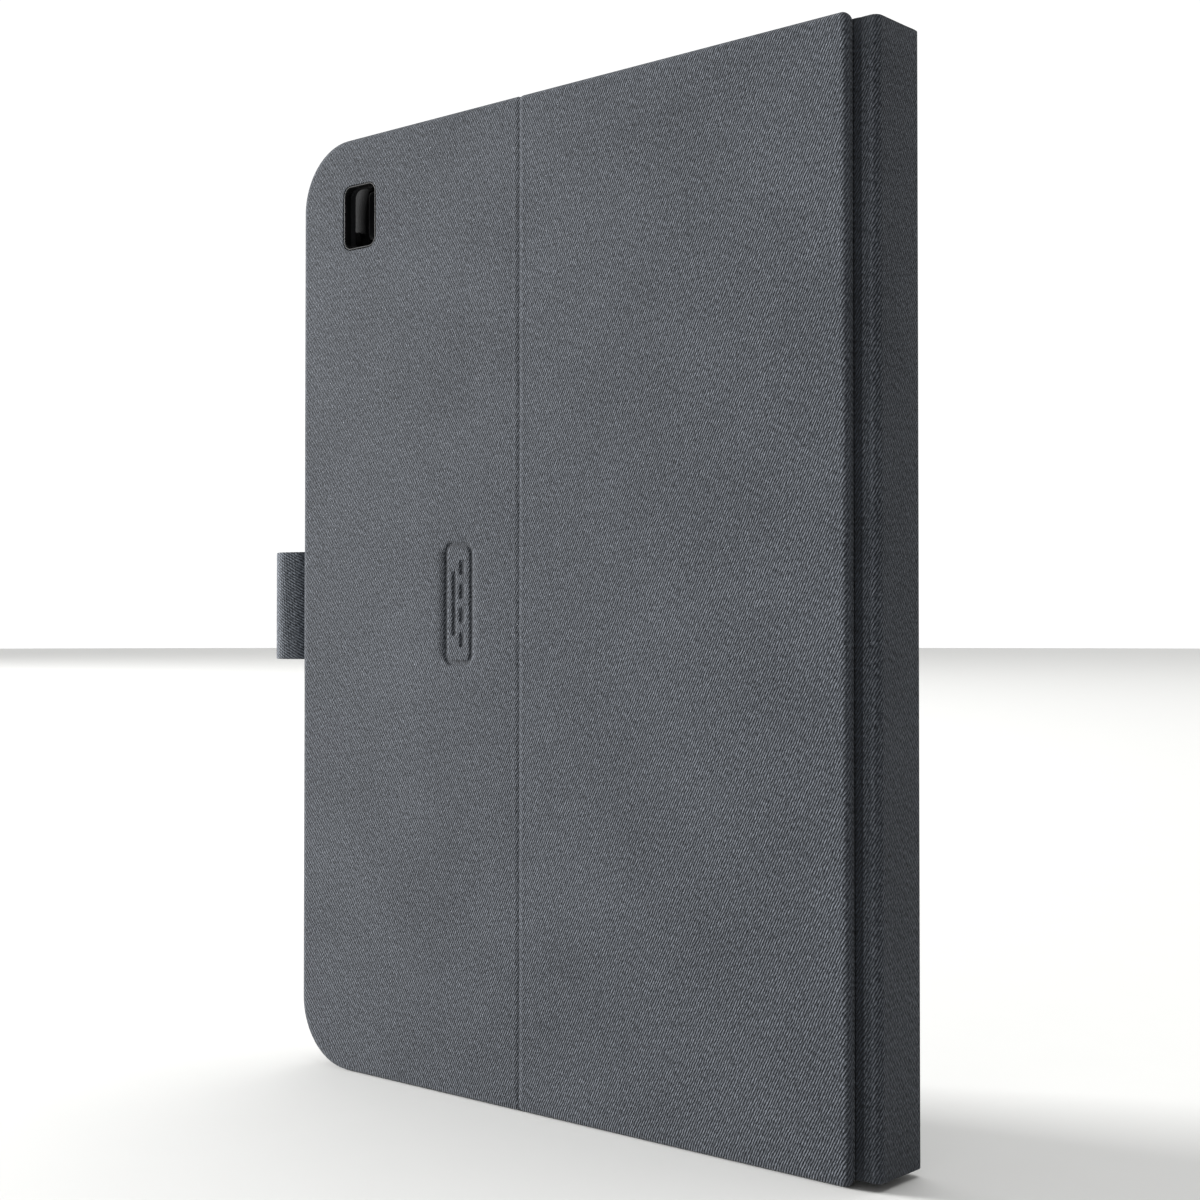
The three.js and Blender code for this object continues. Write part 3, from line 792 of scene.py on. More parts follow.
    def build(self) -> bpy.types.Object:
        """Makes the closed mesh with its weave map and its edge and pressed layers.

        The weave map is the flat position, moved out near an edge by the length that the cloth
        gains on its way over the roll.

        Returns:
            The new object.
        """
        flat, faces, border = self._layout()
        x, z = flat[:, 0], flat[:, 1]
        d = np.where(border, 0.0, np.maximum(self._inside(x, z), 0.0))
        rounding = self.rim * quarter_roll(np.maximum(self._outline(x, z), 0.0), self.roll)
        if self.hole is not None:
            into = np.maximum(self.hole.distance(x, z), 0.0)
            tight = min(self.rim, self.hole_rim) * quarter_roll(into, self.hole_roll)
            rounding = np.maximum(rounding, tight)
        front = np.where(border, self.rim, rounding)
        back = self.thickness - (self.thickness - self.rim) * quarter_roll(d, 0.35)
        if self.floor is not None:
            drop = smooth_step((d - self.wall + 0.05) / 0.09)
            back = back + (self.floor - back) * drop
        inner = smooth_step(d / 2.5)
        if self.relief is not None:
            front = front + self.relief(x, z) * smooth_step(d / 0.8)
        if self.back_relief is not None:
            back = back + self.back_relief(x, z) * np.where(border, 0, 1)
        mark = self.pressed(x, z) * inner if self.pressed is not None else np.zeros(len(x))
        front = front + self.mark_depth * mark
        e = 0.05
        gx = (self._inside(x + e, z) - self._inside(x - e, z)) / (2 * e)
        gz = (self._inside(x, z + e) - self._inside(x, z - e)) / (2 * e)
        t = np.arcsin(1 - np.clip(d / self.roll, 0, 1))
        arc = math.hypot(self.roll, self.rim) / math.sqrt(2) * t
        over = np.where(d < self.roll, arc - (self.roll - d), 0.0)
        cloth = np.stack([x - gx * over, z - gz * over], -1)
        n = len(x)
        back_index = np.arange(n)
        free = ~border
        back_index[free] = n + np.arange(free.sum())
        y_front = self.face + self.inward * front
        y_back = self.face + self.inward * back
        points = np.concatenate([np.stack([x, y_front, z], -1), np.stack([x, y_back, z], -1)[free]])
        flip = faces[:, ::-1]
        if self.inward > 0:
            both = np.concatenate([faces, back_index[flip]])
        else:
            both = np.concatenate([flip, back_index[faces]])
        rounded = np.clip(1 - d / 2.2, 0, 1) ** 2
        layers = {"edge": np.concatenate([rounded, rounded[free]]) * 0.5,
                  "pressed": np.concatenate([mark, np.zeros(free.sum())])}
        return make_piece(self.name, points, both, np.concatenate([cloth, cloth[free]]), layers, 60.0)


def sweep_z(name: str, outline: np.ndarray, z0: float, z1: float, end: float,
            rings: int = 40) -> bpy.types.Object:
    """Carries a closed X-Y outline along Z and rounds both ends.

    Each ring is the outline moved inwards along its normals by end * quarter_roll(distance to the
    nearer end), so both rims are rolled; the ends are closed with one face each.

    Args:
        name: piece name.
        outline: (n, 2) points, counter-clockwise seen from +Z.
        z0: lower end.
        z1: upper end.
        end: radius of the rolled rims.
        rings: number of rings from rim to rim.

    Returns:
        The new object.
    """
    after, before = np.roll(outline, -1, 0), np.roll(outline, 1, 0)
    tangent = after - before
    tangent /= np.linalg.norm(tangent, axis=1)[:, None]
    inward = np.stack([-tangent[:, 1], tangent[:, 0]], -1)
    steps = end * np.array([0.0, 0.06, 0.2, 0.45, 0.75, 1.0])
    z = np.concatenate([z0 + steps, np.linspace(z0 + end, z1 - end, rings)[1:-1], z1 - steps[::-1]])
    inset = end * quarter_roll(np.minimum(z - z0, z1 - z), end)
    ring = outline[None] + inward[None] * inset[:, None, None]
    n = len(outline)
    points = np.concatenate([ring, np.repeat(z[:, None, None], n, 1)], -1).reshape(-1, 3)
    faces = quad_grid(len(z), n, wrap=True).tolist()
    faces += [list(range(n))[::-1], list(range((len(z) - 1) * n, len(z) * n))]
    length = np.concatenate([[0], np.cumsum(np.linalg.norm(np.diff(outline, axis=0), axis=1))])
    cloth = np.stack([np.tile(length, len(z)), np.repeat(z, n)], -1)
    rounded = np.repeat(np.clip(1 - np.minimum(z - z0, z1 - z) / 2.0, 0, 1) ** 2, n) * 0.5
    zero = np.zeros(len(points))
    return make_piece(name, points, faces, cloth, {"edge": rounded, "pressed": zero}, 50.0)


def polyline(corners: Sequence[tuple[float, float, float]]) -> np.ndarray:
    """Closed outline through corners (x, y, radius), each corner a circular arc.

    Args:
        corners: corner points with the radius of the arc that rounds each, counter-clockwise.

    Returns:
        (n, 2) points.
    """
    c = np.array(corners, float)
    out = []
    for k in range(len(c)):
        p, a, b = c[k, :2], c[k - 1, :2], c[(k + 1) % len(c), :2]
        u, v = (a - p) / np.linalg.norm(a - p), (b - p) / np.linalg.norm(b - p)
        half = math.acos(float(np.clip(u @ v, -1, 1))) / 2
        r = c[k, 2]
        if r <= 0 or half > 1.55:
            out.append(p[None])
            continue
        tangent = r / math.tan(half)
        centre = p + (u + v) / np.linalg.norm(u + v) * r / math.sin(half)
        start, stop = p + u * tangent - centre, p + v * tangent - centre
        a0, a1 = math.atan2(start[1], start[0]), math.atan2(stop[1], stop[0])
        sweep = (a1 - a0 + math.pi) % (2 * math.pi) - math.pi
        t = a0 + np.linspace(0, sweep, 7)
        out.append(centre + r * np.stack([np.cos(t), np.sin(t)], -1))
    return np.concatenate(out)


# ------------------------------------------------------------------ finishes of this case
TWILL = PolyesterTwill()
# the loop's twill is paler than the cover's, though it is the same cloth turned: painted light on the loop
LOOP_TWILL_PAINTED_PALER = PolyesterTwill(name="heather polyester twill, turned", dark="14171b", middle="34383f",
                            light="747a82", rib_angle=150.0, rib_mm=0.72, relief_mm=0.15)
LINING = BrushedMicrofibre()
TRAY_ABS = Moulded("ABS blend, spark-eroded mould", "18191b", roughness=0.52, grain_mm=0.4)
# darker than black ABS usually is: painted shade, so light that comes in between tray and deck stays dark in
# the camera opening
CHASSIS_ABS_PAINTED_DARKER = Moulded("ABS, fine spark-eroded mould", "101113", roughness=0.8, grain_mm=0.3, gloss=0.1)
KEY_ABS = Moulded("ABS keycap, satin mould", "1e2023", roughness=0.6, grain_mm=0.22, relief_mm=0.006,
                  gloss=0.35)
SWITCH_ABS = Moulded("ABS switch knob, satin mould", "5b5f65", roughness=0.45, grain_mm=0.25)
TRIM_ABS = Moulded("ABS camera trim, polished mould", "0a0b0c", roughness=0.55, grain_mm=0.5, relief_mm=0.004,
                   gloss=0.12)
# near-black copy of the twill: partly a black hinge tape, partly painted shade for the groove beside the
# spine
HINGE_TAPE_AND_PAINTED_SHADE = PolyesterTwill(name="polyester hinge tape, black, with painted shade", dark="090b0f", middle="171a1f", light="353a42",
                      rib_mm=0.6)
RUBBER = Moulded("thermoplastic rubber, moulded", "17181a", roughness=0.8, grain_mm=0.3, ior=1.5)
SILICONE = Moulded("silicone rubber, moulded", "b9bcc1", roughness=0.6, grain_mm=0.5, ior=1.41)
FILM = Moulded("polyester film, screen printed", "a89763", roughness=0.3, grain_mm=0.8, relief_mm=0.003)
RESIST = Moulded("glass epoxy board, solder resist", "1d5237", roughness=0.35, grain_mm=0.6, relief_mm=0.008)
LENS = Moulded("polycarbonate light lens, polished", "d5d9dc", roughness=0.25, grain_mm=0.6, relief_mm=0.003,
               ior=1.58, coat=0.3)
INK = Moulded("white pad-printed ink", "c9ccd0", roughness=0.5, grain_mm=0.4, relief_mm=0.002)
NICKEL = Metal("nickel-plated steel, ground", "b9babb")
FOIL = Metal("aluminium foil pouch, rolled", "a4a8ad", roughness=0.42, line_mm=0.6)
BOARD = PulpBoard()


# ------------------------------------------------------------------ back cover
@dataclass
class PressedMark:
    """Blind-pressed keyboard sign on the upper panel, generic: an outline, four keys and a long bar."""

    x: float = -120.6
    z: float = 127.5
    half_x: float = 4.7
    half_z: float = 15.4
    line: float = 1.3
    ramp: float = 0.22
    keys: int = 4
    key_pitch: float = 6.2

    def depth(self, x: np.ndarray, z: np.ndarray) -> np.ndarray:
        """How far the mark is pressed at each point, from 0 to 1.

        The sign is the union of bands round distance functions: |outline distance| < line / 2,
        and the insides of small rounded rectangles.

        Args:
            x: X of the points.
            z: Z of the points.

        Returns:
            The share of the full depth at each point.
        """
        best = np.abs(rounded_distance(x, z, self.x, self.z, self.half_x, self.half_z, 2.4)) - self.line / 2
        for k in range(self.keys):
            middle = self.z + self.key_pitch * (k - (self.keys - 1) / 2)
            best = np.minimum(best, rounded_distance(x, z, self.x + 1.35, middle, 0.95, 1.9, 0.5))
        best = np.minimum(best, rounded_distance(x, z, self.x - 1.55, self.z, 0.75, 8.4, 0.6))
        return smooth_step(0.5 - best / self.ramp)


@dataclass
class BackCover:
    """Back cover: one fabric over two boards, the stand fold between them, linings and camera trim."""

    free_radius: float = 18.0
    hinge_radius: float = 2.5
    crease_half: float = 1.4
    crease_depth: float = 0.3
    pan_floor: float = 0.6
    hole_radius: float = 2.9
    trim_wall: float = 0.6
    mark: PressedMark = field(default_factory=PressedMark)

    def __post_init__(self) -> None:
        """Reads the cover's limits and the camera hole from the CAD frame."""
        self.low, _ = DRAWING.limits("upper_cover_skin")
        _, self.high = DRAWING.limits("stand_panel_skin")
        fold_low, fold_high = DRAWING.limits("fold_hinge_strip")
        self.fold = float(fold_low[0] + fold_high[0]) / 2
        trim_low, trim_high = DRAWING.limits("camera_trim")
        mid, half = (trim_low + trim_high) / 2, (trim_high - trim_low) / 2
        self.trim_half = half
        self.trim_y = (float(trim_low[1]), float(trim_high[1]))
        self.hole = Hole(float(mid[0]), float(mid[2]), float(half[0]) + 0.03, float(half[2]) + 0.03,
                         self.hole_radius - 0.07)

    def relief(self, x: np.ndarray, z: np.ndarray) -> np.ndarray:
        """Depth of the cloth below the outer face.

        The stand fold is depth * (1 - |dx| / half)^1.3 with a low bell at each side of it, and two
        faint sine waves stand for cloth that isn't quite flat.

        Args:
            x: X of the points.
            z: Z of the points.

        Returns:
            The depths.
        """
        dx = x - self.fold
        groove = self.crease_depth * np.clip(1 - np.abs(dx) / self.crease_half, 0, 1) ** 1.3
        shoulder = 0.08 * np.exp(-((np.abs(dx) - 2.4) / 1.1) ** 2)
        waves = 0.035 * (np.sin(x / 17.0 + 1.3) * np.sin(z / 23.0) + 0.6 * np.sin(x / 7.3 + z / 11.0))
        return groove + shoulder + waves + 0.04

    def back_relief(self, x: np.ndarray, z: np.ndarray) -> np.ndarray:
        """How much thicker the cloth is where it crosses between the boards, the same at every z."""
        return 0.75 * smooth_step(1.55 - np.abs(x - self.fold) / 1.0)

    def build(self) -> None:
        """Makes the cover cloth, both linings and the trim, and dresses the boards."""
        # columns at these distances from the fold carry its V and shoulders
        around = np.array([0, 0.15, 0.35, 0.6, 0.85, 1.1, 1.4, 1.8, 2.4, 3.1])
        m = self.mark
        cloth = SoftPlate(
            "cover_cloth", self.low[0], self.high[0], self.low[2], self.high[2], self.free_radius,
            self.hinge_radius, face=0.0, thickness=2.3, rim=1.25, roll=2.0, floor=self.pan_floor,
            hole=self.hole, nick_at=self.fold, relief=self.relief, back_relief=self.back_relief,
            pressed=m.depth,
            extra_x=np.concatenate([self.fold - around, self.fold + around,
                                    np.arange(m.x - m.half_x - 0.8, m.x + m.half_x + 0.9, 0.34)]),
            extra_z=np.arange(m.z - m.half_z - 0.8, m.z + m.half_z + 0.9, 0.34)).build()
        dress(cloth, TWILL)
        DRAWING.point(self.fold - 0.7, 0.3, 128)
        DRAWING.point(self.fold + 0.7, 0.3, 128)
        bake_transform(cloth)
        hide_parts("upper_cover_skin", "stand_panel_skin", "fold_hinge_strip")
        LOG.info("piece %s: %d faces", cloth.name, len(cloth.data.polygons))
        for name, node, body, hole in (("upper_cover_nap", "upper_cover_lining", "screen_half", self.hole),
                                       ("stand_panel_nap", "stand_panel_lining", "stand_panel", None)):
            low, high = DRAWING.limits(node)
            free = self.free_radius - 1 if hole else 1.5
            piece = SoftPlate(name, low[0], high[0], low[2], high[2], free, 1.5, face=high[1], inward=-1,
                              thickness=high[1] - low[1], rim=0.3, roll=0.5, hole=hole, step=12.0).build()
            dress(piece, LINING)
            register(piece, body, "microfibre_lining", node)
        for node in ("upper_cover_board", "stand_panel_board"):
            dress(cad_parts[node], BOARD)
        self.trim()

    def trim(self) -> None:
        """Rounded ring round the camera opening.

        A rounded cross-section is carried round a rounded rectangle: each of its points keeps
        one offset from the rectangle and one depth.
        """
        t = np.linspace(0, 2 * math.pi, 17)[:-1]
        y0, y1 = self.trim_y
        squareness = 0.6
        across = np.sign(np.cos(t)) * np.abs(np.cos(t)) ** squareness
        down = np.sign(np.sin(t)) * np.abs(np.sin(t)) ** squareness
        offset = -self.trim_wall / 2 + self.trim_wall / 2 * across
        depth = (y0 + y1) / 2 + (y1 - y0) / 2 * down
        half_x, _, half_z = self.trim_half
        corner = self.hole_radius - 0.1
        rings = np.stack([rounded_ring(half_x + o, half_z + o, corner + o, 9) for o in offset])
        points = np.stack([rings[..., 0] + self.hole.x, np.repeat(depth[:, None], rings.shape[1], 1),
                           rings[..., 1] + self.hole.z], -1)
        closed = np.concatenate([points, points[:1]])
        n = points.shape[1]
        faces = quad_grid(len(closed), n, wrap=True) % (len(points) * n)
        piece = make_piece("camera_surround", points.reshape(-1, 3), faces[:, ::-1])
        dress(piece, TRIM_ABS)
        register(piece, "screen_half", "tray_plastic", "camera_trim")


# ------------------------------------------------------------------ stylus loop
@dataclass
class StylusLoop:
    """Fabric loop at the free edge: a drop-shaped ring of doubled cloth on a flat strap."""

    cloth: float = 1.1
    radius: float = 6.0
    root_angle: float = -21.0
    root_spread: float = 26.0
    end: float = 0.4             # radius of the rolled ends
    strap: float = 0.75          # thickness of the strap

    def build(self) -> None:
        """Makes the ring and the strap.

        Ring: radius(t) = r * (1 + k * exp(-((t - root) / spread)^2)), so it draws out towards the
        strap; inner and outer rings have their own k. Strap: a flat closed sweep.
        """
        low, high = DRAWING.limits("stylus_loop")
        cx, cy = low[0] + self.radius, low[1] + self.radius
        z0, z1 = low[2], high[2]
        t = np.radians(self.root_angle) + np.linspace(0, 2 * math.pi, 73)
        away = np.degrees(np.abs((t - np.radians(self.root_angle) + math.pi) % (2 * math.pi) - math.pi))
        pull = np.exp(-(away / self.root_spread) ** 2)
        # the outer ring draws out further, so the cloth closes to a point at the strap
        outer_r = self.radius * (1 + 0.34 * pull)
        inner_r = (self.radius - self.cloth) * (1 + 0.22 * pull)
        end = self.end
        z = np.concatenate([z0 + end * np.array([0, 0.1, 0.35, 1]), np.linspace(z0 + end, z1 - end, 14)[1:-1],
                            z1 - end * np.array([1, 0.35, 0.1, 0])])
        inset = end * quarter_roll(np.minimum(z - z0, z1 - z), end)
        ring = t[:-1]
        sides = []
        for radius, sign in ((outer_r[:-1], -1.0), (inner_r[:-1], 1.0)):
            r = radius[None] + sign * inset[:, None]
            sides.append(np.stack([cx + r * np.cos(ring)[None], cy + r * np.sin(ring)[None],
                                   np.repeat(z[:, None], len(ring), 1)], -1))
        wall = np.concatenate([sides[0], sides[1][::-1]])
        rows, n = wall.shape[:2]
        faces = quad_grid(rows + 1, n, wrap=True) % (rows * n)
        arc = np.concatenate([[0], np.cumsum(outer_r[:-1] * np.diff(t))])[:-1]
        cloth_map = np.stack([np.tile(arc, rows), wall[..., 2].ravel()], -1)
        x_low, x_high, y_low = cx + self.radius * 1.05, high[0], 2.5
        strap = polyline([(x_low, y_low, 0.2), (x_high, y_low, 0.2), (x_high, y_low + self.strap, 0.2),
                          (x_low, y_low + self.strap, 0.2)])
        points = wall.reshape(-1, 3)
        to_end = np.minimum(wall[:, 0, 2] - z0, z1 - wall[:, 0, 2])
        edge = np.repeat(np.clip(1 - to_end / 1.6, 0, 1) ** 2, n) * 0.6
        m = len(strap)
        tail = np.concatenate([np.concatenate([strap, np.full((m, 1), h)], -1)
                               for h in (z0 + 0.05, z1 - 0.05)])
        base = len(points)
        tail_faces = (quad_grid(2, m, wrap=True) + base).tolist()
        tail_faces += [[base + k for k in range(m)][::-1], [base + m + k for k in range(m)]]
        points = np.concatenate([points, tail])
        cloth_map = np.concatenate([cloth_map, tail[:, [0, 2]]])
        edge = np.concatenate([edge, np.zeros(2 * m)])
        piece = make_piece("stylus_loop_cloth", points, faces.tolist() + tail_faces, cloth_map,
                           {"edge": edge, "pressed": np.zeros(len(points))}, 60.0)
        # paler twill than the cover's: painted light
        dress(piece, LOOP_TWILL_PAINTED_PALER)
        register(piece, "screen_half", "loop_twill", "stylus_loop")


# ------------------------------------------------------------------ spine
@dataclass
class Spine:
    """Spine: L-shaped fabric over a board, its lining, the cloth at the front hinge and the hinge tapes,
    whose near-black cloth is partly painted shade.
    """

    wall: float = 2.2
    strip: float = 2.0
    corner: float = 1.9
    cloth: float = 0.68

    def build(self) -> None:
        """Makes the spine's cloth, lining, front corner and hinge tapes, and dresses its board."""
        low, high = DRAWING.limits("spine_skin")
        x0, y0, z0 = low
        x1, y1, z1 = high
        c = self.cloth
        cloth = polyline([(x0, y0, 0.35), (x1, y0, self.corner), (x1, y1, 0.15), (x1 - c, y1, 0.15),
                          (x1 - c, y0 + c, self.corner - c), (x0, y0 + c, 0.3)])
        piece = sweep_z("spine_cloth", cloth, z0, z1, end=0.3)
        dress(piece, TWILL)
        register(piece, "spine", "cover_twill", "spine_skin")
        low_l, high_l = DRAWING.limits("spine_lining")
        a, b = low_l[0], high_l[0]
        wall_x = x1 - self.wall
        strip_y = y0 + self.strip
        nap = polyline([(a, low_l[1], 0.2), (b - 1.25, low_l[1], 0.2), (b - 1.25, strip_y, 0.1),
                        (wall_x + 0.7, strip_y, 0.1), (wall_x + 0.7, high_l[1], 0.2),
                        (wall_x, high_l[1], 0.2), (wall_x, strip_y, 0.3), (a, strip_y, 0.3)])
        piece = sweep_z("spine_nap", nap, z0 + 0.2, z1 - 0.2, end=0.15)
        dress(piece, LINING)
        register(piece, "spine", "microfibre_lining", "spine_lining")
        dress(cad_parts["spine_board"], BOARD)
        self.front_corner(x1, y1, z0, z1)
        low_g, high_g = DRAWING.limits("groove_strip")
        px, py = (low_g[0] + high_g[0]) / 2, (low_g[1] + high_g[1]) / 2
        # every point left of the strip keeps within 0.87 of the fold axis, clear of the turning panel
        web = polyline([(px - 0.8, py - 0.34, 0.12), (px + 0.5, py - 0.2, 0.3), (x0 + 0.5, y0 + 0.05, 0.05),
                        (x0 + 0.5, y0 + 0.6, 0.1), (px, py + 0.8, 0.3), (px - 0.65, py + 0.5, 0.2)])
        piece = sweep_z("groove_shade_tape", web, z0 + 0.1, z1 - 0.1, end=0.12)
        # the web's near-black cloth is partly black tape, partly painted shade of the groove
        dress(piece, HINGE_TAPE_AND_PAINTED_SHADE)
        register(piece, "spine", "pad_rubber", "groove_strip")
        # a strip under the stand panel's edge keeps daylight out of the groove; its near-black cloth also
        # paints the shade in the gap under the edge
        under = DRAWING.limits("stand_panel_lining")[1][1]
        hem = polyline([(-3.2, under + 0.02, 0.1), (-0.06, under + 0.02, 0.1), (-0.06, under + 0.68, 0.25),
                        (-3.2, under + 0.45, 0.15)])
        piece = sweep_z("panel_hem_tape", hem, z0, z1, end=0.12)
        dress(piece, HINGE_TAPE_AND_PAINTED_SHADE)
        register(piece, "stand_panel", "pad_rubber")

    def front_corner(self, x1: float, y1: float, z0: float, z1: float) -> None:
        """Makes the cloth that turns from the front cover to the spine, round the front hinge.

        Args:
            x1: outer face of the spine.
            y1: front end of the spine.
            z0: lower end.
            z1: upper end.
        """
        depth = DRAWING.limits("front_cover_skin")[1][1]
        edge = DRAWING.limits("front_cover_skin")[1][0]
        turn = polyline([(edge - 0.95, depth - 0.06, 0.0), (edge - 0.95, depth - 0.7, 0.0),
                         (x1 - self.cloth, depth - 0.7, 1.0), (x1 - self.cloth, y1 - 0.5, 0.0),
                         (x1 - 0.03, y1 - 0.5, 0.0), (x1 - 0.03, depth - 0.02, 1.55)])
        piece = sweep_z("front_corner_cloth", turn, z0, z1, end=0.25)
        dress(piece, TWILL)
        DRAWING.point(edge, depth - 0.4, 128)
        DRAWING.point(x1 - 0.4, y1, 128)
        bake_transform(piece)
        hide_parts("front_hinge_strip")
        LOG.info("piece %s: %d faces", piece.name, len(piece.data.polygons))


# ------------------------------------------------------------------ keyboard half
# CAD node -> body, widths of its keys in key units and their legends, from the top key down
KEY_ROWS: dict[str, tuple[str, Sequence[float], Sequence[str]]] = {
    "function_key_row": ("function_keys", (14.5 / 14,) * 14,
                         ("esc", *(f"F{k}" for k in range(1, 13)), "del")),
    "number_key_row": ("number_keys", (1,) * 13 + (1.5,), (*"`1234567890-=", "back")),
    "upper_letter_row": ("upper_letter_keys", (1.5,) + (1,) * 13, ("tab", *"QWERTYUIOP[]", "\\")),
    "home_letter_row": ("home_letter_keys", (1.75,) + (1,) * 11 + (1.75,),
                        ("caps", *"ASDFGHJKL;'", "enter")),
    "lower_letter_row": ("lower_letter_keys", (2.25,) + (1,) * 10 + (2.25,),
                         ("shift", *"ZXCVBNM,./", "shift")),
    "left_modifier_keys": ("left_modifiers", (1, 1, 1, 1.25), ("ctrl", "fn", "alt", "cmd")),
    "space_bar": ("space", (5,), ("",)),
    "right_modifier_keys": ("right_modifiers", (1.25, 1, 1, 1, 1), ("cmd", "alt", "<", "^v", ">")),
}


@dataclass
class Keycaps:
    """Keycaps of one row: rounded, tapered and slightly dished, on their thin carrier."""

    gap: float = 2.4
    grow: float = 0.7
    web: float = 0.4
    corner: int = 6
    dish: float = 0.13
    letter: float = 4.2          # size of a one-character legend
    word: float = 2.7            # size of a longer legend

    def caps(self, node: str, widths: Sequence[float]) -> list[tuple[float, float, float, float]]:
        """Shares the length of a row among its caps by their widths.

        Args:
            node: CAD node of the row.
            widths: width of each key in key units.

        Returns:
            Limits (x0, x1, z0, z1) of each cap.
        """
        low, high = DRAWING.limits(node)
        x0, x1 = low[0] + self.grow, high[0] - self.grow
        z_top = high[2] - self.grow + self.gap / 2
        unit = (high[2] - low[2] - 2 * self.grow + self.gap) / sum(widths)
        out, at = [], 0.0
        for w in widths:
            out.append((x0, x1, z_top - (at + w) * unit + self.gap / 2, z_top - at * unit - self.gap / 2))
            at += w
        return out

    def build(self, node: str) -> None:
        """Makes one row with its legends.

        Each cap is a stack of rounded rectangles: inset and depth follow the moulded profile from
        the skirt over a rounded shoulder to the dish. The centre is closed by one face.

        Args:
            node: CAD node of the row.
        """
        body, widths, legends = KEY_ROWS[node]
        limits = self.caps(node, widths)
        if node == "right_modifier_keys":
            # the up and down arrows share one key's place
            x0, x1, z0, z1 = limits[3]
            middle = (x0 + x1) / 2
            limits[3:4] = [(x0, middle - 0.5, z0, z1), (middle + 0.5, x1, z0, z1)]
            legends = ("cmd", "alt", "<", "v", "^", ">")
        low, high = DRAWING.limits(node)
        top, bottom = low[1], high[1]
        profile = ((0.0, bottom - self.web / 2), (0.0, top + 0.95), (0.12, top + 0.55), (0.34, top + 0.22),
                   (0.62, top + 0.06), (0.95, top), (1.7, top + 0.03), (3.0, top + self.dish))
        points, faces = [], []
        n = 4 * self.corner
        for x0, x1, z0, z1 in limits:
            hx, hz = (x1 - x0) / 2, (z1 - z0) / 2
            start = sum(len(p) for p in points)
            for inset, y in profile:
                inset = min(inset, hx - 0.8)
                ring = rounded_ring(hx - inset, hz - inset, max(1.5 - inset * 0.35, 0.5), self.corner)
                points.append(np.stack([ring[:, 0] + (x0 + x1) / 2, np.full(n, y),
                                        ring[:, 1] + (z0 + z1) / 2], -1))
            last = start + (len(profile) - 1) * n
            faces += (quad_grid(len(profile), n, wrap=True)[:, ::-1] + start).tolist()
            faces += [[start + k for k in range(n)][::-1], [last + k for k in range(n)]]
        faces = [f[::-1] for f in faces]
        start = sum(len(p) for p in points)
        corners = np.array([[x, y, z] for x in (low[0], high[0]) for y in (bottom - self.web, bottom)
                            for z in (low[2], high[2])])
        points.append(corners)
        carrier = np.array([[0, 1, 3, 2], [4, 6, 7, 5], [0, 4, 5, 1], [2, 3, 7, 6], [0, 2, 6, 4],
                            [1, 5, 7, 3]])
        faces += (carrier + start).tolist()
        letters = [self.legend(text, box, top + 0.02) for text, box in zip(legends, limits) if text]
        slots = [0] * len(faces)
        for verts, polys in letters:
            start = sum(len(p) for p in points)
            points.append(verts)
            faces += [[start + k for k in f] for f in polys]
            slots += [1] * len(polys)
        piece = make_piece(f"{node}_caps", np.concatenate(points), faces, sharp=40.0, slots=np.array(slots))
        dress(piece, KEY_ABS, INK)
        register(piece, body, "keycap_plastic", node)

    def legend(self, text: str, box: tuple[float, float, float, float],
               y: float) -> tuple[np.ndarray, list[list[int]]]:
        """Makes a printed legend as thin raised letters, read from the free edge of the case.

        Args:
            text: characters of the legend.
            box: limits (x0, x1, z0, z1) of its cap.
            y: depth of the cap's top.

        Returns:
            (n, 3) points and the faces between them.
        """
        curve = bpy.data.curves.new("legend", "FONT")
        curve.body = text
        curve.align_x, curve.align_y = "CENTER", "CENTER"
        curve.size = self.letter if len(text) == 1 else self.word
        curve.extrude = 0.03
        curve.resolution_u = 3
        holder = bpy.data.objects.new("legend", curve)
        bpy.context.scene.collection.objects.link(holder)
        bpy.context.view_layer.update()
        mesh = holder.evaluated_get(bpy.context.evaluated_depsgraph_get()).to_mesh()
        raw = np.empty(len(mesh.vertices) * 3, np.float32)
        mesh.vertices.foreach_get("co", raw)
        raw = raw.reshape(-1, 3)
        polys = [list(p.vertices) for p in mesh.polygons]
        holder.evaluated_get(bpy.context.evaluated_depsgraph_get()).to_mesh_clear()
        bpy.data.objects.remove(holder)
        bpy.data.curves.remove(curve)
        x0, x1, z0, z1 = box
        placed = np.stack([(x0 + x1) / 2 + raw[:, 1], y - raw[:, 2], (z0 + z1) / 2 - raw[:, 0]], -1)
        keys, index = np.unique(np.round(placed, 4), axis=0, return_inverse=True)
        index = index.ravel()
        merged = [[int(index[k]) for k in f] for f in polys]
        return keys, [f for f in merged if len(set(f)) == len(f)]


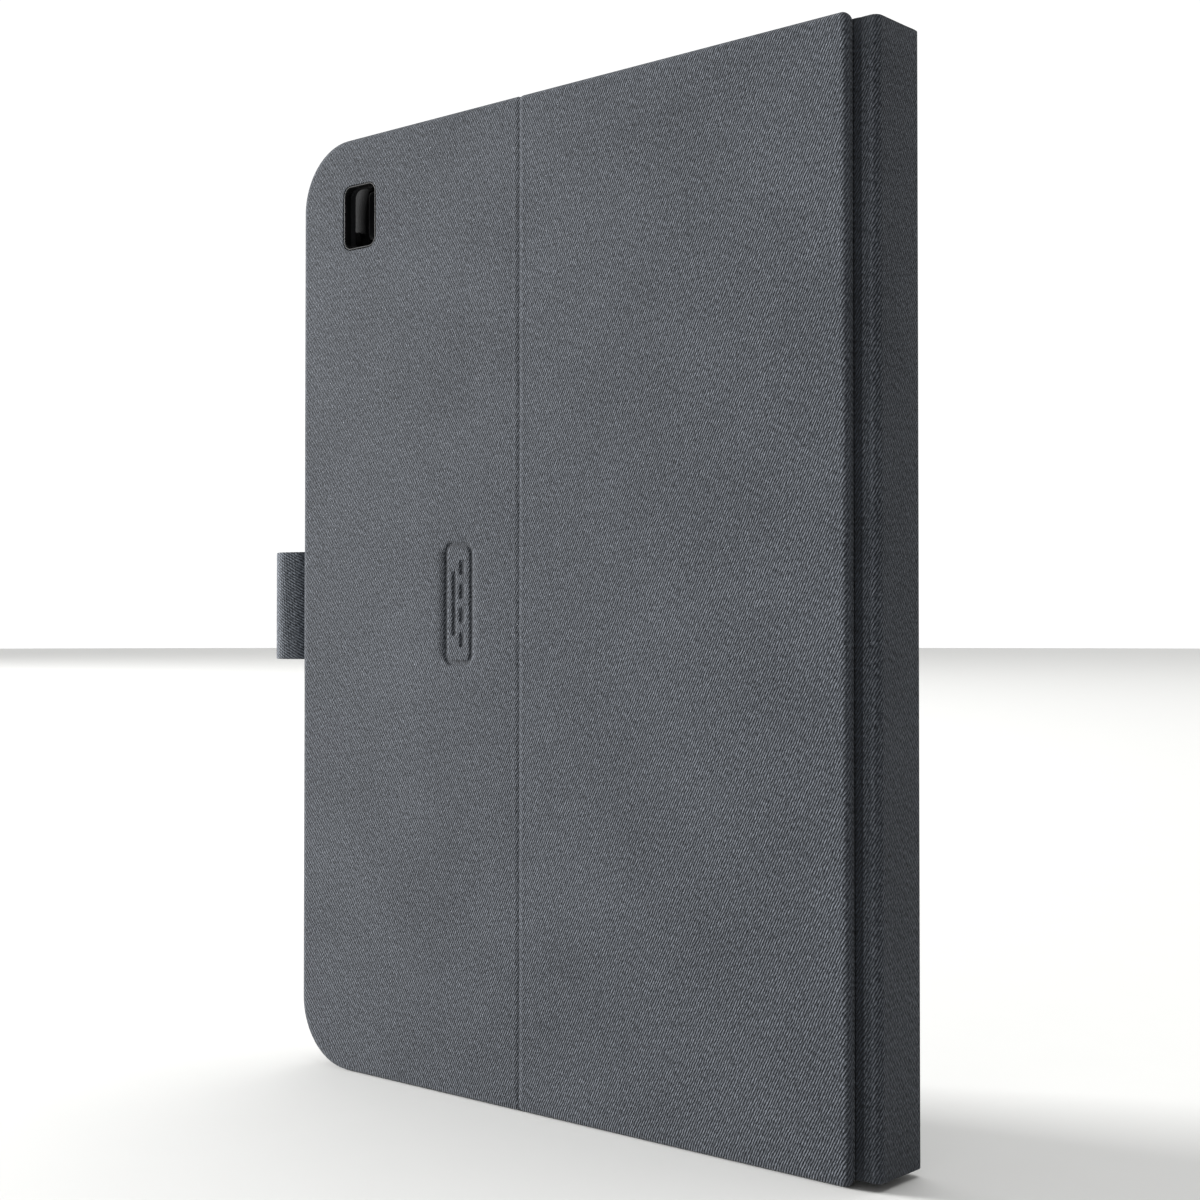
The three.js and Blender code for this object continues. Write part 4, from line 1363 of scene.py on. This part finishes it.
@dataclass
class KeyboardHalf:
    """Front cover with the keyboard: cloth, lining, deck, chassis, caps, dock rail and insides."""

    free_radius: float = 16.4
    hinge_radius: float = 1.6
    pan_floor: float = 0.6

    def build(self) -> None:
        """Makes the soft and moulded pieces and dresses the CAD nodes that stay."""
        low, high = DRAWING.limits("front_cover_skin")

        def waves(x: np.ndarray, z: np.ndarray) -> np.ndarray:
            """Faint sine waves of cloth that isn't quite flat."""
            return 0.03 + 0.03 * np.sin(x / 19.0) * np.sin(z / 21.0 + 0.8)

        cloth = SoftPlate("front_cover_cloth", low[0], high[0], low[2], high[2], self.free_radius,
                          self.hinge_radius, face=high[1], inward=-1, thickness=high[1] - low[1], rim=1.0,
                          roll=1.1, floor=self.pan_floor, relief=waves, step=7.0).build()
        dress(cloth, TWILL)
        register(cloth, "base", "cover_twill", "front_cover_skin")
        low, high = DRAWING.limits("base_lining")
        nap = SoftPlate("base_nap", low[0], high[0], low[2], high[2], self.free_radius - 1, 0.8,
                        face=low[1], thickness=high[1] - low[1], rim=0.25, roll=0.4, step=12.0).build()
        dress(nap, LINING)
        register(nap, "base", "microfibre_lining", "base_lining")
        caps = Keycaps()
        for node in KEY_ROWS:
            caps.build(node)
        for k in range(1, 5):
            self.bumper(f"bumper_{k}")
        # chassis, deck and dock rail take that darker black, which is partly painted shade
        plain = {BOARD: ("front_cover_board",),
                 CHASSIS_ABS_PAINTED_DARKER: ("keyboard_chassis", "keyboard_deck", "dock_rail"),
                 SILICONE: ("dome_sheet",), FILM: ("key_membrane",), RESIST: ("main_circuit_board",),
                 FOIL: ("battery_pack",), LENS: ("status_light",), SWITCH_ABS: ("power_switch",),
                 NICKEL: ("charging_port", "closure_magnet_1", "closure_magnet_2", "dock_magnet_1",
                          "dock_magnet_2", "dock_magnet_3")}
        for finish, nodes in plain.items():
            for node in nodes:
                dress(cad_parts[node], finish)

    def bumper(self, node: str) -> None:
        """Makes a domed rubber pad: a turned profile, radius against depth, closed at both poles.

        Args:
            node: CAD node of the bumper.
        """
        low, high = DRAWING.limits(node)
        cx, cz = (low[0] + high[0]) / 2, (low[2] + high[2]) / 2
        r = (high[0] - low[0]) / 2
        t = np.linspace(0, math.pi / 2, 8)
        radius = np.concatenate([[r * 0.97, r], r * (0.55 + 0.45 * np.cos(t[1:]))])
        shoulder = high[1] - 0.1
        depth = np.concatenate([[high[1], shoulder], shoulder - (high[1] - low[1] - 0.1) * np.sin(t[1:])])
        n = 32
        turn = np.linspace(0, 2 * math.pi, n + 1)[:-1]
        points = np.stack([cx + radius[:, None] * np.cos(turn), np.repeat(depth[:, None], n, 1),
                           cz + radius[:, None] * np.sin(turn)], -1).reshape(-1, 3)
        faces = quad_grid(len(radius), n, wrap=True).tolist()
        last = (len(radius) - 1) * n
        faces += [list(range(n))[::-1], [last + k for k in range(n)]]
        piece = make_piece(f"{node}_pad", points, faces, sharp=50.0)
        dress(piece, RUBBER)
        register(piece, "base", "pad_rubber", node)


# ------------------------------------------------------------------ tray, bar and studio
@dataclass
class Tray:
    """Tablet tray and keeper bar, whose CAD shapes stay."""

    def build(self) -> None:
        """Dresses the moulded tray and the steel bar."""
        dress(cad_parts["tablet_tray"], TRAY_ABS)
        dress(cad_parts["keeper_bar"], NICKEL)


@dataclass
class Studio:
    """Pale floor, soft lights and the camera."""

    lens_mm: float = 55.58
    camera_mm: tuple[float, float, float] = (223.8, -337.3, 120.8)
    azimuth: float = 41.22
    pitch: float = 0.912
    floor_colour: str = "dcdcda"
    floor_gap: float = 0.0002    # metres below the case, so the two never share a plane
    overhead_power: float = 1.5
    overhead_spread: float = 50.0
    overhead_tilt: float = -14.0
    room: float = 0.3            # brightness in front of the case
    wall: float = 1.05           # brightness behind it
    wall_from: float = 0.5       # cosine to the line of sight where the wall begins to brighten
    wall_full: float = 0.88

    def build(self) -> None:
        """Makes the camera first, then the floor, the lights and the world.

        The key light grazes the back cover from the left, so the weave shows and the recessed strip
        beside the spine stays in the cover's shadow.
        """
        data = bpy.data.cameras.new("camera")
        data.lens = self.lens_mm
        data.sensor_width = 36.0
        data.clip_start, data.clip_end = 0.01, 50.0
        camera = bpy.data.objects.new("camera", data)
        camera.location = DRAWING.point(*self.camera_mm)
        camera.rotation_euler = (math.radians(90.0 + self.pitch), 0.0, math.radians(self.azimuth))
        bpy.context.scene.collection.objects.link(camera)
        bpy.context.scene.camera = camera
        self.floor()
        self.light("key", (-5.65, -1.95, 1.2), 1.5, 1080.0)
        self.light("front_fill", (0.9, -2.6, 0.8), 1.6, 6.0)
        self.overhead()
        self.world()
        bpy.context.scene.view_settings.view_transform = "Standard"

    def overhead(self) -> None:
        """Very soft, distant light from above and a little behind, for an even floor."""
        data = bpy.data.lights.new("overhead", "SUN")
        data.energy = self.overhead_power
        data.angle = math.radians(self.overhead_spread)
        lamp = bpy.data.objects.new("overhead", data)
        lamp.rotation_euler = (math.radians(self.overhead_tilt), 0.0, 0.0)
        bpy.context.scene.collection.objects.link(lamp)

    def world(self) -> None:
        """White wall of light behind the case that fades to a dimmer room towards the front."""
        world = bpy.data.worlds.new("studio")
        world.use_nodes = True
        t = world.node_tree
        t.nodes.clear()
        way = add_node(t, "ShaderNodeTexCoord").outputs["Generated"]
        turn = math.radians(self.azimuth)
        facing = add_node(t, "ShaderNodeVectorMath", {0: way, 1: (-math.sin(turn), math.cos(turn), 0.0)},
                          operation="DOT_PRODUCT").outputs["Value"]
        bright = add_node(t, "ShaderNodeMapRange", {
            "Value": facing, "From Min": self.wall_from, "From Max": self.wall_full, "To Min": self.room,
            "To Max": self.wall}, interpolation_type="SMOOTHSTEP").outputs[0]
        back = add_node(t, "ShaderNodeBackground", {"Color": linear("ffffff"), "Strength": bright})
        add_node(t, "ShaderNodeOutputWorld", {"Surface": back.outputs[0]})
        bpy.context.scene.world = world

    def floor(self) -> None:
        """Wide pale floor, a flat disc with a faint paper tooth."""
        n = 64
        t = np.linspace(0, 2 * math.pi, n + 1)[:-1]
        low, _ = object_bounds()
        radius = np.array([0.3, 2.0, 12.0]) / MM
        rings = np.stack([radius[:, None] * np.cos(t), radius[:, None] * np.sin(t),
                          np.full((len(radius), n), (low[2] - self.floor_gap) / MM)], -1).reshape(-1, 3)
        faces = quad_grid(len(radius), n, wrap=True)[:, ::-1].tolist() + [list(range(n))]
        floor = make_piece("floor", rings, faces)
        dress(floor, Moulded("matt studio paper", self.floor_colour, roughness=0.9, grain_mm=1.5,
                             mottle=0.01))
        floor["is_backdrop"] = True

    def light(self, name: str, at: tuple[float, float, float], size: float, power: float) -> None:
        """Makes a square soft light that looks at the middle of the case.

        Args:
            name: name of the lamp.
            at: place in metres.
            size: side of the square in metres.
            power: power in watts.
        """
        data = bpy.data.lights.new(name, "AREA")
        data.shape = "SQUARE"
        data.size = size
        data.energy = power
        lamp = bpy.data.objects.new(name, data)
        lamp.location = at
        aim = np.array([0.0, 0.0, 0.128]) - np.array(at)
        lamp.rotation_euler = Vector(aim).to_track_quat("-Z", "Y").to_euler()
        bpy.context.scene.collection.objects.link(lamp)


def main() -> None:
    """Builds the studio and every sub-assembly."""
    logging.basicConfig(level=logging.INFO, format="%(name)s: %(message)s")
    for part in (Studio(), BackCover(), StylusLoop(), Spine(), KeyboardHalf(), Tray()):
        LOG.info("building %s", type(part).__name__)
        part.build()


if __name__ == "__main__":
    main()
